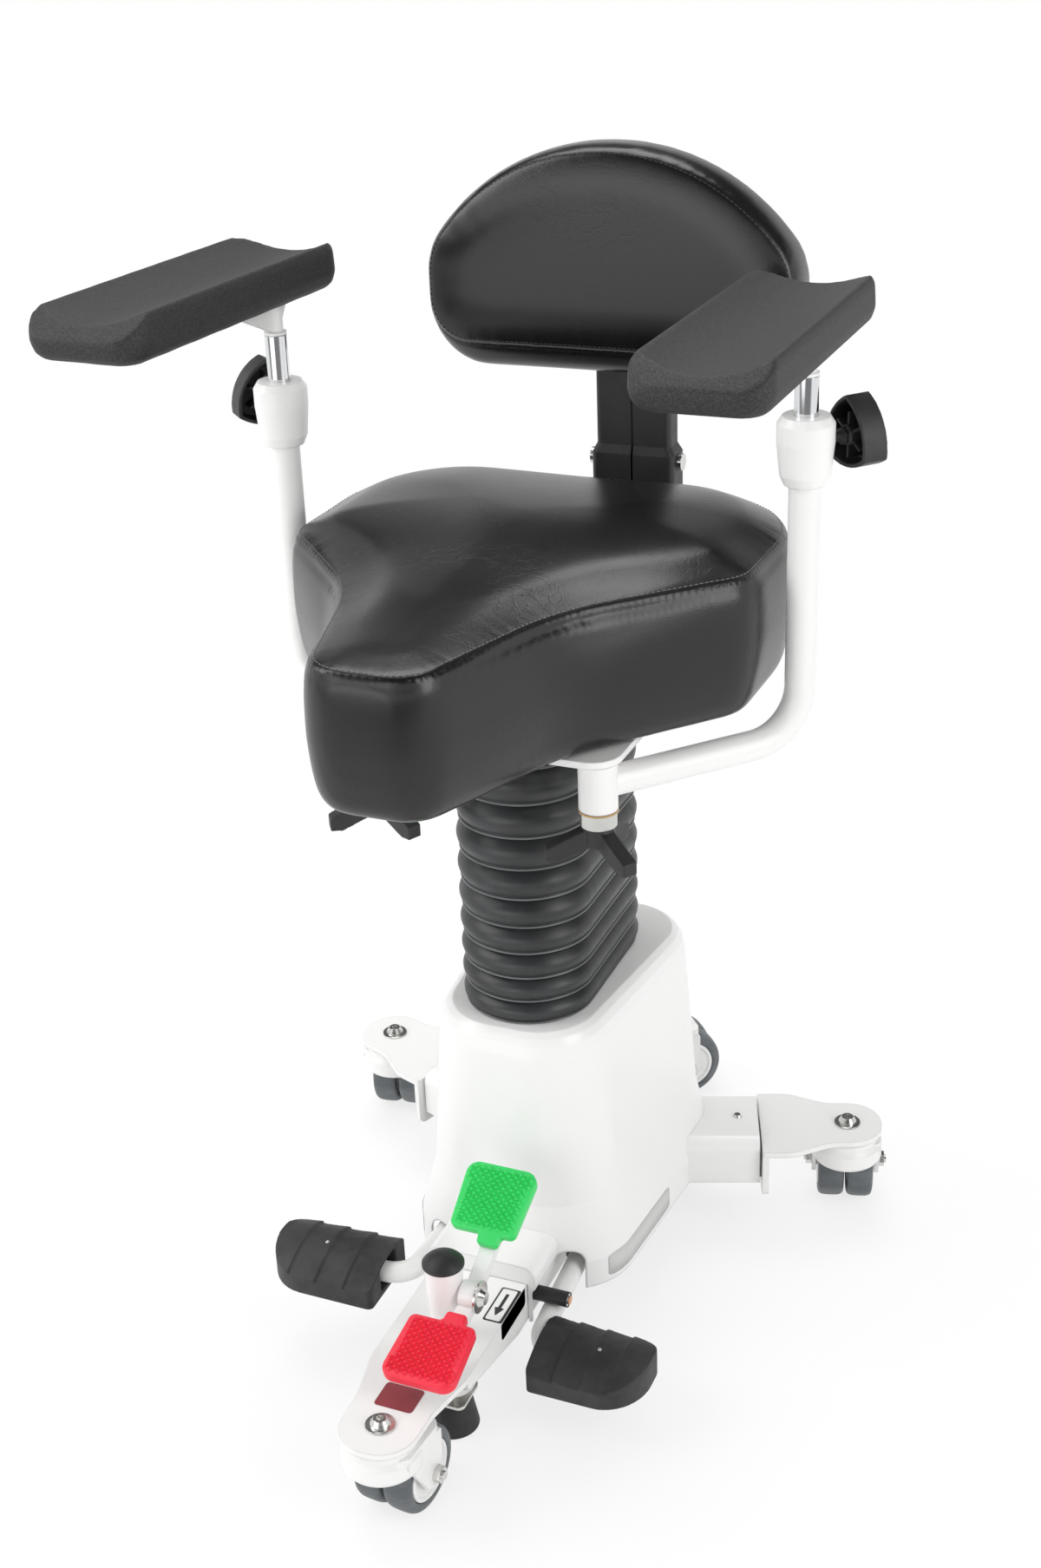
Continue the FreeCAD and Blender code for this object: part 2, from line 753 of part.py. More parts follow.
def bellows():
    low = cover_top
    length = plate_under - seat_gap - low

    def level(share):
        return low + length * (bellows_foot_share * share + (1 - bellows_foot_share) * share * share)

    rings = []
    for fold in range(bellows_folds):
        crest = level(fold / bellows_folds)
        valley = level((fold + 0.5) / bellows_folds)
        rings += [(bellows_crest, crest), (bellows_crest, crest + crest_land), (bellows_valley, valley)]
    rings += [(bellows_crest, low + length - crest_land), (bellows_crest, low + length)]
    outside = loft([oval_wire(radius, z) for radius, z in rings])
    inside = loft([oval_wire(radius - bellows_wall, z) for radius, z in rings])
    return outside.cut(inside)


# Pedals

def pedal_tube_run(side, setback, y, z, radius):
    x = side * pedal_arm_x
    end_x = side * (pedal_arm_x + setback + pedal_tube_in)
    return bent_tube([(x, pedal_axis_y, pedal_axis_z), (x, y, z), (end_x, y, z)], pedal_bend, radius)


def pedal_arm(side, setback, y, z):
    x = side * pedal_arm_x
    tube = pedal_tube_run(side, setback, y, z, pedal_tube)
    hub = rod(pedal_hub_radius, (x - pedal_hub_half, pedal_axis_y, pedal_axis_z),
              (x + pedal_hub_half, pedal_axis_y, pedal_axis_z))
    bore = rod(pedal_shaft_radius + run_gap, (x - 20, pedal_axis_y, pedal_axis_z),
               (x + 20, pedal_axis_y, pedal_axis_z))
    return fuse([tube, hub]).cut(bore)


def pedal_pad(side, setback, pad_length, y, z):
    """A moulded foot pad: D-shaped in plan, arched, stepped by three ribs, hollow at its inner end."""
    points = [(0, -pad_half), (pad_length, -pad_half), (pad_length, pad_half), (0, pad_half)]
    body = prism(rounded_wire(points, [5, 40, 16, 5], plan(0)), V(0, 0, pad_height + 10))
    arch = []
    steps = 3
    for i in range(steps + 1):
        start = pad_length * i / (steps + 1)
        stop = pad_length * (i + 1) / (steps + 1)
        for u, lift in ((start, pad_step), (stop, 0.0)):
            share = u / pad_length
            crown = pad_height - 9 * (2 * share - 0.8) ** 2
            arch.append((u, crown + lift - pad_step))
    profile = [(0, 0), (pad_length, 0)] + arch[::-1]
    ribs = prism(polygon_wire(profile, upright_plane(-pad_half - 1)), V(0, 2 * pad_half + 2, 0))
    pad = body.common(ribs)
    room = pedal_tube + seat_gap
    pocket = box((-1, -pad_socket_half, pad_below - room),
                 (pedal_tube_in + seat_gap, pad_socket_half, pad_below + room))
    pad = pad.cut(pocket)
    pad.translate(V(pedal_arm_x + setback, y, z - pad_below))
    if side < 0:
        pad = mirror_x(pad)
    return pad.cut(pedal_tube_run(side, setback, y, z, room))


def pedal_pins():
    reach = pedal_arm_x + pedal_hub_half + 2
    shaft = rod(pedal_shaft_radius, (-reach, pedal_axis_y, pedal_axis_z), (reach, pedal_axis_y, pedal_axis_z))
    heads = [rod(pedal_shaft_radius + 3, (side * reach, pedal_axis_y, pedal_axis_z),
                 (side * (reach + 3), pedal_axis_y, pedal_axis_z)) for side in (-1, 1)]
    stop = rod(stop_radius, (front_leg_half, stop_y, stop_z), (front_leg_half + stop_length, stop_y, stop_z))
    core = rod(stop_radius - 2, (front_leg_half, stop_y, stop_z),
               (front_leg_half + stop_length + 1, stop_y, stop_z))
    return Part.makeCompound([fuse([shaft] + heads), fuse([stop, core])])


def pump_plunger():
    rise = (raise_z - pedal_axis_z) / (pedal_axis_y - raise_y)
    near = pedal_axis_y - plunger_y - plunger_head
    tube_under = pedal_axis_z + rise * near - pedal_tube * math.hypot(1, rise)
    top = tube_under - plunger_gap
    stem = rod(plunger_radius, (-pedal_arm_x, plunger_y, plunger_bottom), (-pedal_arm_x, plunger_y, top))
    head = rod(plunger_head, (-pedal_arm_x, plunger_y, top - plunger_head_height), (-pedal_arm_x, plunger_y, top))
    return fuse([stem, head])


# Pivot brake

def post_cap():
    base = leg_top + post_height
    ball = (cap_radius ** 2 + cap_rise ** 2) / (2 * cap_rise)
    dome = Part.makeSphere(ball, V(post_x, post_y, base + 2 + cap_rise - ball))
    drum = rod(cap_radius, (post_x, post_y, base), (post_x, post_y, base + 2 + cap_rise))
    return drum.common(dome)


def brake_cup():
    cup = rod(cup_radius, (post_x, post_y, cup_low), (post_x, post_y, leg_under))
    lip = rod(cup_radius + 2.5, (post_x, post_y, cup_low + 8), (post_x, post_y, cup_low + 12))
    bore = rod(brake_rod_radius + run_gap, (post_x, post_y, 0), (post_x, post_y, leg_under + 1))
    return fuse([cup, lip]).cut(bore)


def brake_plunger():
    foot_top = brake_foot_low + brake_foot_height
    stem = rod(brake_rod_radius, (post_x, post_y, foot_top), (post_x, post_y, brake_rod_top))
    half = brake_plate_half
    points = [(post_x - half, post_y - half), (post_x + half, post_y - half), (post_x + half, post_y + half),
              (post_x - half, post_y + half)]
    square = prism(rounded_wire(points, [6, 6, 6, 6], plan(foot_top)), V(0, 0, brake_plate))
    return fuse([stem, square])


def brake_foot():
    return Part.makeCone(brake_foot_radius, brake_foot_neck, brake_foot_height,
                         V(post_x, post_y, brake_foot_low), UP)


def rocker_turn(shape, angle, backward):
    """Lays a piece built along +Y from the rocker's pivot at its own slope, forward or backward."""
    if not backward:
        shape = shape.mirror(V(0, 0, 0), ALONG_Y)
    laid = shape.copy()
    tilt = angle if backward else -angle
    laid.rotate(V(0, 0, 0), ALONG_X, tilt)
    laid.translate(V(0, post_y, rocker_z))
    return laid


def rocker_outline(near):
    """A pad that widens away from the pivot, with a short neck towards it; near is where the neck ends."""
    far = near + rocker_pad_length
    near_left, near_right = rocker_pad_x - rocker_pad_near_half, rocker_pad_x + rocker_pad_near_half
    neck_left, neck_right = rocker_x - rocker_neck_half, rocker_x + rocker_neck_half
    points = [(near_left, near), (neck_left, near), (neck_left, near - rocker_neck), (neck_right, near - rocker_neck),
              (neck_right, near), (near_right, near), (rocker_pad_x + rocker_pad_half, far),
              (rocker_pad_x - rocker_pad_half, far)]
    return points, [6.0, 3.0, 3.0, 3.0, 3.0, 6.0, rocker_pad_corner, rocker_pad_corner]


def brake_rocker():
    hub = rod(rocker_hub, (rocker_x - rocker_half, post_y, rocker_z), (rocker_x + rocker_half, post_y, rocker_z))
    pieces = [hub]
    for angle, near, backward in ((green_angle, green_near, True), (red_angle, red_near, False)):
        points, radii = rocker_outline(near)
        tongue = prism(rounded_wire(points, radii, plan(-rocker_tongue), 2.5), V(0, 0, rocker_tongue))
        neck = box((rocker_x - rocker_half, 4, -rocker_tongue - 4), (rocker_x + rocker_half, near + 8, 0))
        pieces += [rocker_turn(tongue, angle, backward), rocker_turn(neck, angle, backward)]
    bore = rod(rocker_bolt_radius + run_gap, (0, post_y, rocker_z), (60, post_y, rocker_z))
    return fuse(pieces).cut(bore)


def brake_pad(angle, near, backward):
    points, radii = rocker_outline(near)
    pad = prism(rounded_wire(points, radii, plan(0.0)), V(0, 0, rocker_pad_thickness))
    return rocker_turn(pad, angle, backward)


# Seat

def seat_outline():
    half = [(seat_horn_half, seat_horn_y), (seat_waist_half, seat_waist_y), (seat_half - 5, seat_lobe_y),
            (seat_half, seat_rear)]
    points, radii = mirrored(half, [38.0, 140.0, 80.0, 118.0])
    return [(x + seat_shift, y) for x, y in points], radii


def seat_plate():
    points = [(-plate_half, plate_front), (plate_half, plate_front), (plate_half, plate_rear),
              (-plate_half, plate_rear)]
    return prism(rounded_wire(points, [plate_corner] * 4, plan(plate_under)), V(0, 0, plate))


def seat_board():
    points, radii = seat_outline()
    return prism(rounded_wire(points, radii, plan(plate_over), board_inset), V(0, 0, board_thickness))


def seat_cushion():
    points, radii = seat_outline()
    rise = seat_crown - seat_seam
    levels = [(cushion_low, 7.0), (cushion_low + 8, 1.0), (cushion_low + 40, -seat_bulge),
              (seat_seam - 20, 0.5 - seat_bulge), (seat_seam, 0.0), (seat_seam + 0.45 * rise, 7.0),
              (seat_seam + 0.8 * rise, 20.0), (seat_crown, 34.0)]
    return loft([rounded_wire(points, radii, plan(z), inset) for z, inset in levels])


# Arms, built on the right-hand side

def upright_spot(angle):
    turn = math.radians(angle)
    return pivot_x + arm_reach * math.cos(turn), pivot_y + arm_reach * math.sin(turn)


def arm(angle):
    ux = math.cos(math.radians(angle))
    uy = math.sin(math.radians(angle))
    upright_x, upright_y = upright_spot(angle)
    tube = bent_tube([(pivot_x, pivot_y, arm_height), (upright_x, upright_y, arm_height),
                      (upright_x, upright_y, collar_low + 10)], arm_bend, arm_tube)
    sleeve = rod(sleeve_radius, (pivot_x, pivot_y, sleeve_low), (pivot_x, pivot_y, sleeve_top))
    collar = turned([(0, collar_low), (collar_foot_radius, collar_low), (collar_foot_radius + 3.5, collar_low + 8),
                     (collar_radius, collar_low + 34), (collar_radius, collar_top - 6),
                     (collar_radius - 4, collar_top), (0, collar_top)])
    collar.translate(V(upright_x, upright_y, 0))
    pin_hole = rod(pin_radius + run_gap, (pivot_x, pivot_y, sleeve_low - 1), (pivot_x, pivot_y, sleeve_top + 1))
    post_hole = rod(post_radius + run_gap, (upright_x, upright_y, arm_bore_low), (upright_x, upright_y, collar_top + 1))
    stud_end = collar_radius + 6
    stud_hole = rod(clamp_stud_radius + run_gap, (upright_x, upright_y, clamp_height),
                    (upright_x + ux * stud_end, upright_y + uy * stud_end, clamp_height))
    return fuse([tube, sleeve, collar]).cut(pin_hole).cut(post_hole).cut(stud_hole)


def arm_pin():
    low = collar_under - pin_collar_height
    shaft = rod(pin_radius, (pivot_x, pivot_y, collar_under), (pivot_x, pivot_y, plate_under))
    collar = rod(pin_collar_radius, (pivot_x, pivot_y, low), (pivot_x, pivot_y, collar_under))
    stud = rod(pin_stud_radius, (pivot_x, pivot_y, low - pin_stud_length), (pivot_x, pivot_y, low))
    return fuse([shaft, collar, stud])


def arm_washers():
    hole = rod(pin_radius + run_gap, (pivot_x, pivot_y, 0), (pivot_x, pivot_y, plate_under))
    pieces = []
    for low in (collar_under, plate_under - bronze_thickness):
        ring = rod(bronze_radius, (pivot_x, pivot_y, low), (pivot_x, pivot_y, low + bronze_thickness)).cut(hole)
        pieces += [ring, mirror_x(ring)]
    return Part.makeCompound(pieces)


def star_knob():
    """A hub with three drooping lobes, screwed on the stud of the arm's pivot pin."""
    top = collar_under - pin_collar_height - seat_gap
    low = top - star_hub_height
    pieces = [rod(star_hub_radius, (0, 0, low), (0, 0, top))]
    side = [(4, top - 5), (4, low), (star_reach - 10, low - 13), (star_reach, low - 12),
            (star_reach, low - 1), (star_reach - 6, low + 2), (star_hub_radius, top - 3)]
    for i in range(3):
        lobe = prism(polygon_wire(side, upright_plane(-star_half)), V(0, 2 * star_half, 0))
        lobe.rotate(V(0, 0, 0), UP, 120 * i - 35)
        pieces.append(lobe)
    stud_room = rod(pin_stud_radius + run_gap, (0, 0, top - pin_stud_length - 1), (0, 0, top + 1))
    knob = fuse(pieces).cut(stud_room)
    knob.translate(V(pivot_x, pivot_y, 0))
    return knob


def arm_post():
    tube = rod(post_radius, (0, 0, post_bottom), (0, 0, post_top))
    return tube.cut(rod(post_bore, (0, 0, post_bottom - 1), (0, 0, post_top + 1)))


def armrest_plate(rest_aside):
    plate_low = rest_bottom - rest_plate_thickness
    spigot = rod(post_bore - run_gap, (0, 0, post_top - spigot_drop), (0, 0, plate_low + 1))
    flange = rod(post_radius, (0, 0, post_top + seat_gap), (0, 0, post_top + 3))
    rear = rest_plate_width / 2
    front = rear - rest_plate_length
    left = rest_aside - rest_plate_width / 2
    right = rest_aside + rest_plate_width / 2
    points = [(left, front), (right, front), (right, rear), (left, rear)]
    sheet = prism(rounded_wire(points, [10] * 4, plan(plate_low)), V(0, 0, rest_plate_thickness))
    web = [(-60, plate_low + 1), (-4, post_top + 2), (4, post_top + 2), (20, plate_low + 1)]
    gusset = prism(polygon_wire(web, side_plane(-1.5)), V(3, 0, 0))
    return fuse([spigot, flange, sheet, gusset])


def armrest(rest_aside):
    """A foam rest with a hollowed top, rounded corners and a sloping face at its front end."""
    front = -rest_ahead - rest_length / 2
    rear = front + rest_length
    left = rest_aside - rest_width / 2
    right = rest_aside + rest_width / 2
    points = [(left, front), (right, front), (right, rear), (left, rear)]
    radii = [rest_corner] * 4
    top = rest_bottom + rest_thickness
    levels = [(rest_bottom, 9.0), (rest_bottom + 5, 3.0), (rest_bottom + 14, 0.0), (top - 6, 1.0), (top, 4.0)]
    pad = loft([rounded_wire(points, radii, plan(z), inset) for z, inset in levels])
    half = rest_width / 2 - 6
    ball = (half ** 2 + trough_depth ** 2) / (2 * trough_depth)
    trough = rod(ball, (rest_aside, front - 5, top + ball - trough_depth),
                 (rest_aside, rear + 5, top + ball - trough_depth))
    slope = [(front - slope_length / 2, top - 1.5 * slope_drop), (front + 1.5 * slope_length, top + slope_drop / 2),
             (front - slope_length / 2, top + slope_drop / 2)]
    wedge = prism(polygon_wire(slope, side_plane(left - 5)), V(rest_width + 10, 0, 0))
    return pad.cut(trough).cut(wedge)


def clamp_knob(angle):
    """A three-cornered hollow knob with six ribs, moulded round its threaded stud; built along +X."""
    corner = []
    for i in range(3):
        turn = math.radians(120 * i + 90)
        corner.append((2 * knob_reach * math.cos(turn) * 0.62, 2 * knob_reach * math.sin(turn) * 0.62))
    wires = []
    for inset in (0.0, knob_wall):
        arcs = []
        for i in range(3):
            a, b = corner[i], corner[(i + 1) % 3]
            out = math.hypot(a[0] + b[0], a[1] + b[1]) / 2
            bulge = 1 + 9.0 / out
            shrink = 1 - inset / knob_reach
            start = V(0, a[0] * shrink, a[1] * shrink)
            middle = V(0, (a[0] + b[0]) / 2 * bulge * shrink, (a[1] + b[1]) / 2 * bulge * shrink)
            stop = V(0, b[0] * shrink, b[1] * shrink)
            arcs.append(Part.Arc(start, middle, stop).toShape())
        wires.append(Part.Wire(arcs))
    depth = knob_far - knob_near
    shell = prism(wires[0], V(depth, 0, 0)).cut(prism(wires[1], V(depth - knob_wall, 0, 0)))
    ribs = []
    for i in range(6):
        rib = box((3, -1, 0), (depth - 1, 1, knob_reach * 0.72))
        rib.rotate(V(0, 0, 0), ALONG_X, 60 * i)
        ribs.append(rib)
    hub = rod(knob_hub_radius, (1, 0, 0), (depth - 1, 0, 0))
    knob = fuse([shell, hub] + ribs)
    knob.translate(V(knob_near, 0, 0))
    stud = rod(clamp_stud_radius, (post_radius + seat_gap, 0, 0), (knob_near + 12, 0, 0))
    nut = hexagon(13.0, 5.0, (knob_near - 3.5, 0, 0), (1, 0, 0))
    knob = fuse([knob, stud, nut])
    spot = V(*upright_spot(angle), clamp_height)
    knob.Placement = FreeCAD.Placement(spot, FreeCAD.Rotation(UP, angle))
    return knob


# Backrest

def back_bracket():
    bar_low = plate_under - bracket_bar
    far = back_y + tongue_thick / 2
    foot = box((-bracket_bar_half - 5, bracket_start, bar_low), (bracket_bar_half + 5, far, plate_under))
    riser = box((-bracket_bar_half, far - tongue_thick, bar_low),
                (bracket_bar_half, far, back_pivot + tongue_over))
    knee = [(far - tongue_thick - 26, plate_under - 1), (far - tongue_thick + 1, plate_under - 1),
            (far - tongue_thick + 1, plate_under + 27)]
    gusset = prism(polygon_wire(knee, side_plane(-4.0)), V(8, 0, 0))
    bracket = fuse([foot, riser, gusset])
    return bracket.cut(rod(back_pin_radius + run_gap, (-60, back_y, back_pivot), (60, back_y, back_pivot)))


def back_pin():
    reach = boot_half + face_gap
    shaft = rod(back_pin_radius, (-reach, back_y, back_pivot), (reach, back_y, back_pivot))
    heads = [rod(back_pin_head, (side * reach, back_y, back_pivot),
                 (side * (reach + back_pin_head_height), back_y, back_pivot)) for side in (-1, 1)]
    return fuse([shaft] + heads)


def back_section(half, depth, z):
    points = [(-half, back_y - depth / 2), (half, back_y - depth / 2), (half, back_y + depth / 2),
              (-half, back_y + depth / 2)]
    return rounded_wire(points, [6, 6, 6, 6], plan(z))


def back_upright():
    blade = loft([back_section(upright_half, upright_depth, z) for z in (boot_top, upright_top)])
    boot = loft([back_section(boot_half, boot_depth, z) for z in (boot_low, boot_top)])
    taper = loft([back_section(boot_half, boot_depth, boot_top),
                  back_section(upright_half, upright_depth, boot_top + boot_taper)])
    upright = fuse([blade, boot, taper])
    front = back_y - boot_depth
    groove = box((-1.2, front, boot_low), (1.2, back_y - upright_depth / 2 + 1.6, upright_top + 1))
    slot = box((-slot_half, back_y - slot_front, boot_low - 1),
               (slot_half, back_y + boot_depth, back_pivot + tongue_over + 8))
    pin_hole = rod(back_pin_radius + run_gap, (-60, back_y, back_pivot), (60, back_y, back_pivot))
    return upright.cut(groove).cut(slot).cut(pin_hole)


def back_outline(inset, y, low=back_low, corner=50.0):
    """A round dome on short straight sides, with rounded lower corners."""
    half = [(back_half, low), (back_half, back_side), (back_crown_half, back_high)]
    points, radii = mirrored(half, [corner, 60.0, 198.0])
    return rounded_wire(points, radii, upright_plane(y), inset)


def backrest_shell():
    front = back_cushion_rear
    rear = front + shell_thickness
    pan = loft([back_outline(14.0, front), back_outline(10.0, front + 3), back_outline(14.0, rear)])
    inside = upright_half + seat_gap
    outside = inside + rail_wall
    rail_rear = back_y + upright_depth / 2 + seat_gap
    pieces = [pan]
    for side in (-1, 1):
        wall = box((inside, rear - 2, rail_low), (outside, rail_rear + rail_wall, rail_high))
        lip = box((inside - 16, rail_rear, rail_low), (outside, rail_rear + rail_wall, rail_high))
        rail = fuse([wall, lip])
        pieces.append(rail if side > 0 else mirror_x(rail))
    return fuse(pieces)


def backrest_cushion():
    """The band behind the seam hangs lower than the front panel, so the pad bulges out underneath it."""
    front, rear = back_cushion_front, back_cushion_rear
    levels = [(rear, 5.0, back_low + 3, 50.0), (rear - 10, 0.0, back_low, 50.0), (front + 24, 0.0, back_low + 2, 50.0),
              (front + 11, 1.5, back_seam_low, 40.0), (front + 4, 12.0, back_seam_low, 40.0),
              (front, 30.0, back_seam_low, 40.0)]
    return loft([back_outline(inset, y, low, corner) for y, inset, low, corner in levels])


def build():
    nodes = {}
    housing, axle = caster_housing(), caster_axle()
    wheels = {"a": caster_wheel(-1), "b": caster_wheel(1)}
    for name, (x, y, heading) in casters.items():
        nodes["caster_housing_" + name] = put(housing, x, y, heading)
        nodes["caster_axle_" + name] = put(axle, x, y, heading)
        for letter, wheel in wheels.items():
            turned_wheel = FreeCAD.Placement(V(x, y, 0), FreeCAD.Rotation(UP, heading))
            placed = wheel.copy()
            placed.Placement = turned_wheel.multiply(wheel.Placement)
            nodes["wheel_" + name + "_" + letter] = placed
    nodes["base_frame"] = base_frame()
    nodes["front_leg"] = front_leg()
    nodes["leg_brackets"] = Part.makeCompound([leg_bracket(*leg) for leg in leg_frames])
    nodes["base_cover"] = base_cover()
    nodes["base_fasteners"] = base_fasteners()
    nodes["hydraulic_cylinder"] = hydraulic_cylinder()
    nodes["column_guide"] = column_guide()
    nodes["hydraulic_ram"] = hydraulic_ram()
    nodes["guide_rod"] = guide_rod()
    nodes["bellows"] = bellows()
    nodes["pedal_pins"] = pedal_pins()
    nodes["pump_plunger"] = pump_plunger()
    nodes["raise_pedal_arm"] = pedal_arm(-1, raise_setback, raise_y, raise_z)
    nodes["raise_pedal_pad"] = pedal_pad(-1, raise_setback, raise_pad_length, raise_y, raise_z)
    nodes["lower_pedal_arm"] = pedal_arm(1, lower_setback, lower_y, lower_z)
    nodes["lower_pedal_pad"] = pedal_pad(1, lower_setback, lower_pad_length, lower_y, lower_z)
    nodes["post_cap"] = post_cap()
    nodes["brake_cup"] = brake_cup()
    nodes["brake_plunger"] = brake_plunger()
    nodes["brake_foot"] = brake_foot()
    nodes["brake_rocker"] = brake_rocker()
    nodes["brake_pad_green"] = brake_pad(green_angle, green_near, True)
    nodes["brake_pad_red"] = brake_pad(red_angle, red_near, False)
    nodes["seat_plate"] = seat_plate()
    nodes["seat_board"] = seat_board()
    nodes["seat_cushion"] = seat_cushion()
    nodes["pivot_pins"] = Part.makeCompound([arm_pin(), mirror_x(arm_pin()), back_pin()])
    nodes["arm_washers"] = arm_washers()
    for name, angle in (("right", right_arm_angle), ("left", left_arm_angle)):
        for node, shape in (("arm", arm(angle)), ("star_knob", star_knob()), ("clamp_knob", clamp_knob(angle))):
            nodes[node + "_" + name] = shape if name == "right" else mirror_x(shape)
    right_x, right_y = upright_spot(right_arm_angle)
    left_x, left_y = upright_spot(left_arm_angle)
    sides = {
        "right": (right_x, right_y, right_rest_yaw, 0.0, right_rest_aside),
        "left": (-left_x, left_y, left_rest_yaw, left_post_lift, left_rest_aside),
    }
    for name, (x, y, yaw, lift, aside) in sides.items():
        upper = {"arm_post": arm_post(), "armrest_plate": armrest_plate(aside), "armrest": armrest(aside)}
        for node, shape in upper.items():
            placed = put(shape, x, y, yaw)
            placed.translate(V(0, 0, lift))
            nodes[node + "_" + name] = placed
    nodes["back_bracket"] = back_bracket()
    nodes["back_upright"] = back_upright()
    nodes["backrest_shell"] = backrest_shell()
    nodes["backrest_cushion"] = backrest_cushion()
    return nodes


os.makedirs("parts", exist_ok=True)
for node, shape in build().items():
    shape.exportStep("parts/" + node + ".step")
    print(node, "solids", len(shape.Solids), "valid", shape.isValid(), "volume", round(shape.Volume))
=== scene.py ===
# %% Load the stool's frame
import math
import bmesh
import bpy
import numpy as np
from mathutils import Matrix, Vector, noise
from mathutils.bvhtree import BVHTree


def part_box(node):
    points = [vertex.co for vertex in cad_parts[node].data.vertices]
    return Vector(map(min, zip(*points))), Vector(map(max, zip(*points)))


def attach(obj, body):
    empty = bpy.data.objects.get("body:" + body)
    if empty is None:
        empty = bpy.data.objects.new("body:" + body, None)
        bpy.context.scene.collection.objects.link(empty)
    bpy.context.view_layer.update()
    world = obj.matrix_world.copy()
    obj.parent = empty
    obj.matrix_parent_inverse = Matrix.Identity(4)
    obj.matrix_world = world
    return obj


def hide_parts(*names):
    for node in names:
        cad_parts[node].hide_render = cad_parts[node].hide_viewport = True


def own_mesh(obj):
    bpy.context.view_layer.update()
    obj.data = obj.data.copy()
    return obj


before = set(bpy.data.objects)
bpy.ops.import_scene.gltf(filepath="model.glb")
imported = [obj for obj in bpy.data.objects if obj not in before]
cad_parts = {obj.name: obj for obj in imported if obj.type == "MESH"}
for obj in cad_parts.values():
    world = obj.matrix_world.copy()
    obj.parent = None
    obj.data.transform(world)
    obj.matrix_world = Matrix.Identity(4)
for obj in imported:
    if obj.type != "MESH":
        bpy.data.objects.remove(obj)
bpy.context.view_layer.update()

MM = 0.001
SIDES = ("left", "right")

# %% [markdown]
# The photograph was taken from a little above seat height, to the right of the horn.
# A camera could be set by eye, but then its place would be guesswork.
# Here its place and turn were worked out from known sizes on the stool, the wheels and the tubes,
# and the lens follows from the same fit. The three columns are the camera's right, up and back.

# %% Camera
SENSOR_MM, FOCAL_PIXELS, FRAME_PIXELS = 36.0, 2400.0, 1807.0
camera_spot = (0.6394, -1.5043, 1.2793)
right = Vector((0.92270, 0.38390, -0.03526))
up = Vector((-0.13550, 0.40858, 0.90261))
ahead = Vector((-0.36092, 0.82806, -0.42901))


def placed(name, data):
    """A new object of the scene around some data."""
    made = bpy.data.objects.new(name, data)
    bpy.context.scene.collection.objects.link(made)
    return made


lens = bpy.data.cameras.new("camera")
lens.sensor_width = SENSOR_MM
lens.lens = SENSOR_MM * FOCAL_PIXELS / FRAME_PIXELS
camera = placed("camera", lens)
turn = Matrix((right, up, -ahead)).transposed().to_4x4()
camera.matrix_world = Matrix.Translation(camera_spot) @ turn
bpy.context.scene.camera = camera
bpy.context.scene.view_settings.view_transform = "Standard"
print("camera lens", round(lens.lens, 2), "mm")

# %% [markdown]
# Every finish, the floor and the air are made of shader nodes. Written out one by one, nodes and links
# take many lines, so a small helper adds a node and fills its inputs in one go: a number is set on the
# socket itself, and the output of another node is linked to it.

# %% Nodes
WHITE = (1, 1, 1, 1)


def grower(tree):
    """Empties a node tree and gives the function that adds a node to it."""
    tree.nodes.clear()

    def add(kind, inputs=None, **options):
        node = tree.nodes.new("ShaderNode" + kind)
        for option, choice in options.items():
            setattr(node, option, choice)
        for socket, value in (inputs or {}).items():
            if isinstance(value, bpy.types.NodeSocket):
                tree.links.new(value, node.inputs[socket])
            else:
                node.inputs[socket].default_value = value
        return node

    return add


def shader(name):
    """An empty node material and the function that adds nodes to it."""
    made = bpy.data.materials.new(name)
    made.use_nodes = True
    return made, grower(made.node_tree)


def larger(add, first, second):
    return add("Math", {0: first, 1: second}, operation="MAXIMUM").outputs[0]


def shown_ray(add):
    """One where a ray comes from the eye, a mirror or glass; zero for the light on the object."""
    path = add("LightPath").outputs
    seen = larger(add, path["Is Camera Ray"], path["Is Glossy Ray"])
    return larger(add, seen, path["Is Transmission Ray"])


def white_to_eye(add, strength):
    """Full white to the camera, and a given strength to mirrors."""
    return larger(add, strength, add("LightPath").outputs["Is Camera Ray"])


print("node helpers ready")

# %% [markdown]
# A product photograph on white has no horizon: the floor runs out into the same white as the air.
# A large bright room would light the stool from all sides and wash it out, so the world is white to the
# camera and to reflections, but gives the object only a plain soft light. In mirrors it dims overhead,
# as a studio ceiling does, so that chrome and vinyl have something dark to show as well.

# %% Air
SOFT_LIGHT = 0.5
air = bpy.data.worlds.new("studio_air")
bpy.context.scene.world = air
air.use_nodes = True
add = grower(air.node_tree)
height = add("SeparateXYZ", {0: add("TexCoord").outputs["Generated"]}).outputs["Z"]
ceiling = add("MapRange", {
    "Value": height, "From Min": 0.26, "From Max": 0.42, "To Min": 1.0, "To Max": 0.04}).outputs["Result"]
soft = add("Background", {"Color": WHITE, "Strength": SOFT_LIGHT})
white = add("Background", {"Color": WHITE, "Strength": white_to_eye(add, ceiling)})
mix = add("MixShader", {0: shown_ray(add), 1: soft.outputs[0], 2: white.outputs[0]})
add("OutputWorld", {"Surface": mix.outputs[0]})
print("air gives", SOFT_LIGHT, "of white as light")

# %% [markdown]
# The floor is a large disc that takes shadows close to the stool and fades to plain white further out.
# A curved backdrop would do the same on film, but it would have to stand behind every camera.
# In mirrors the white sheet ends behind the camera, as a real one would.

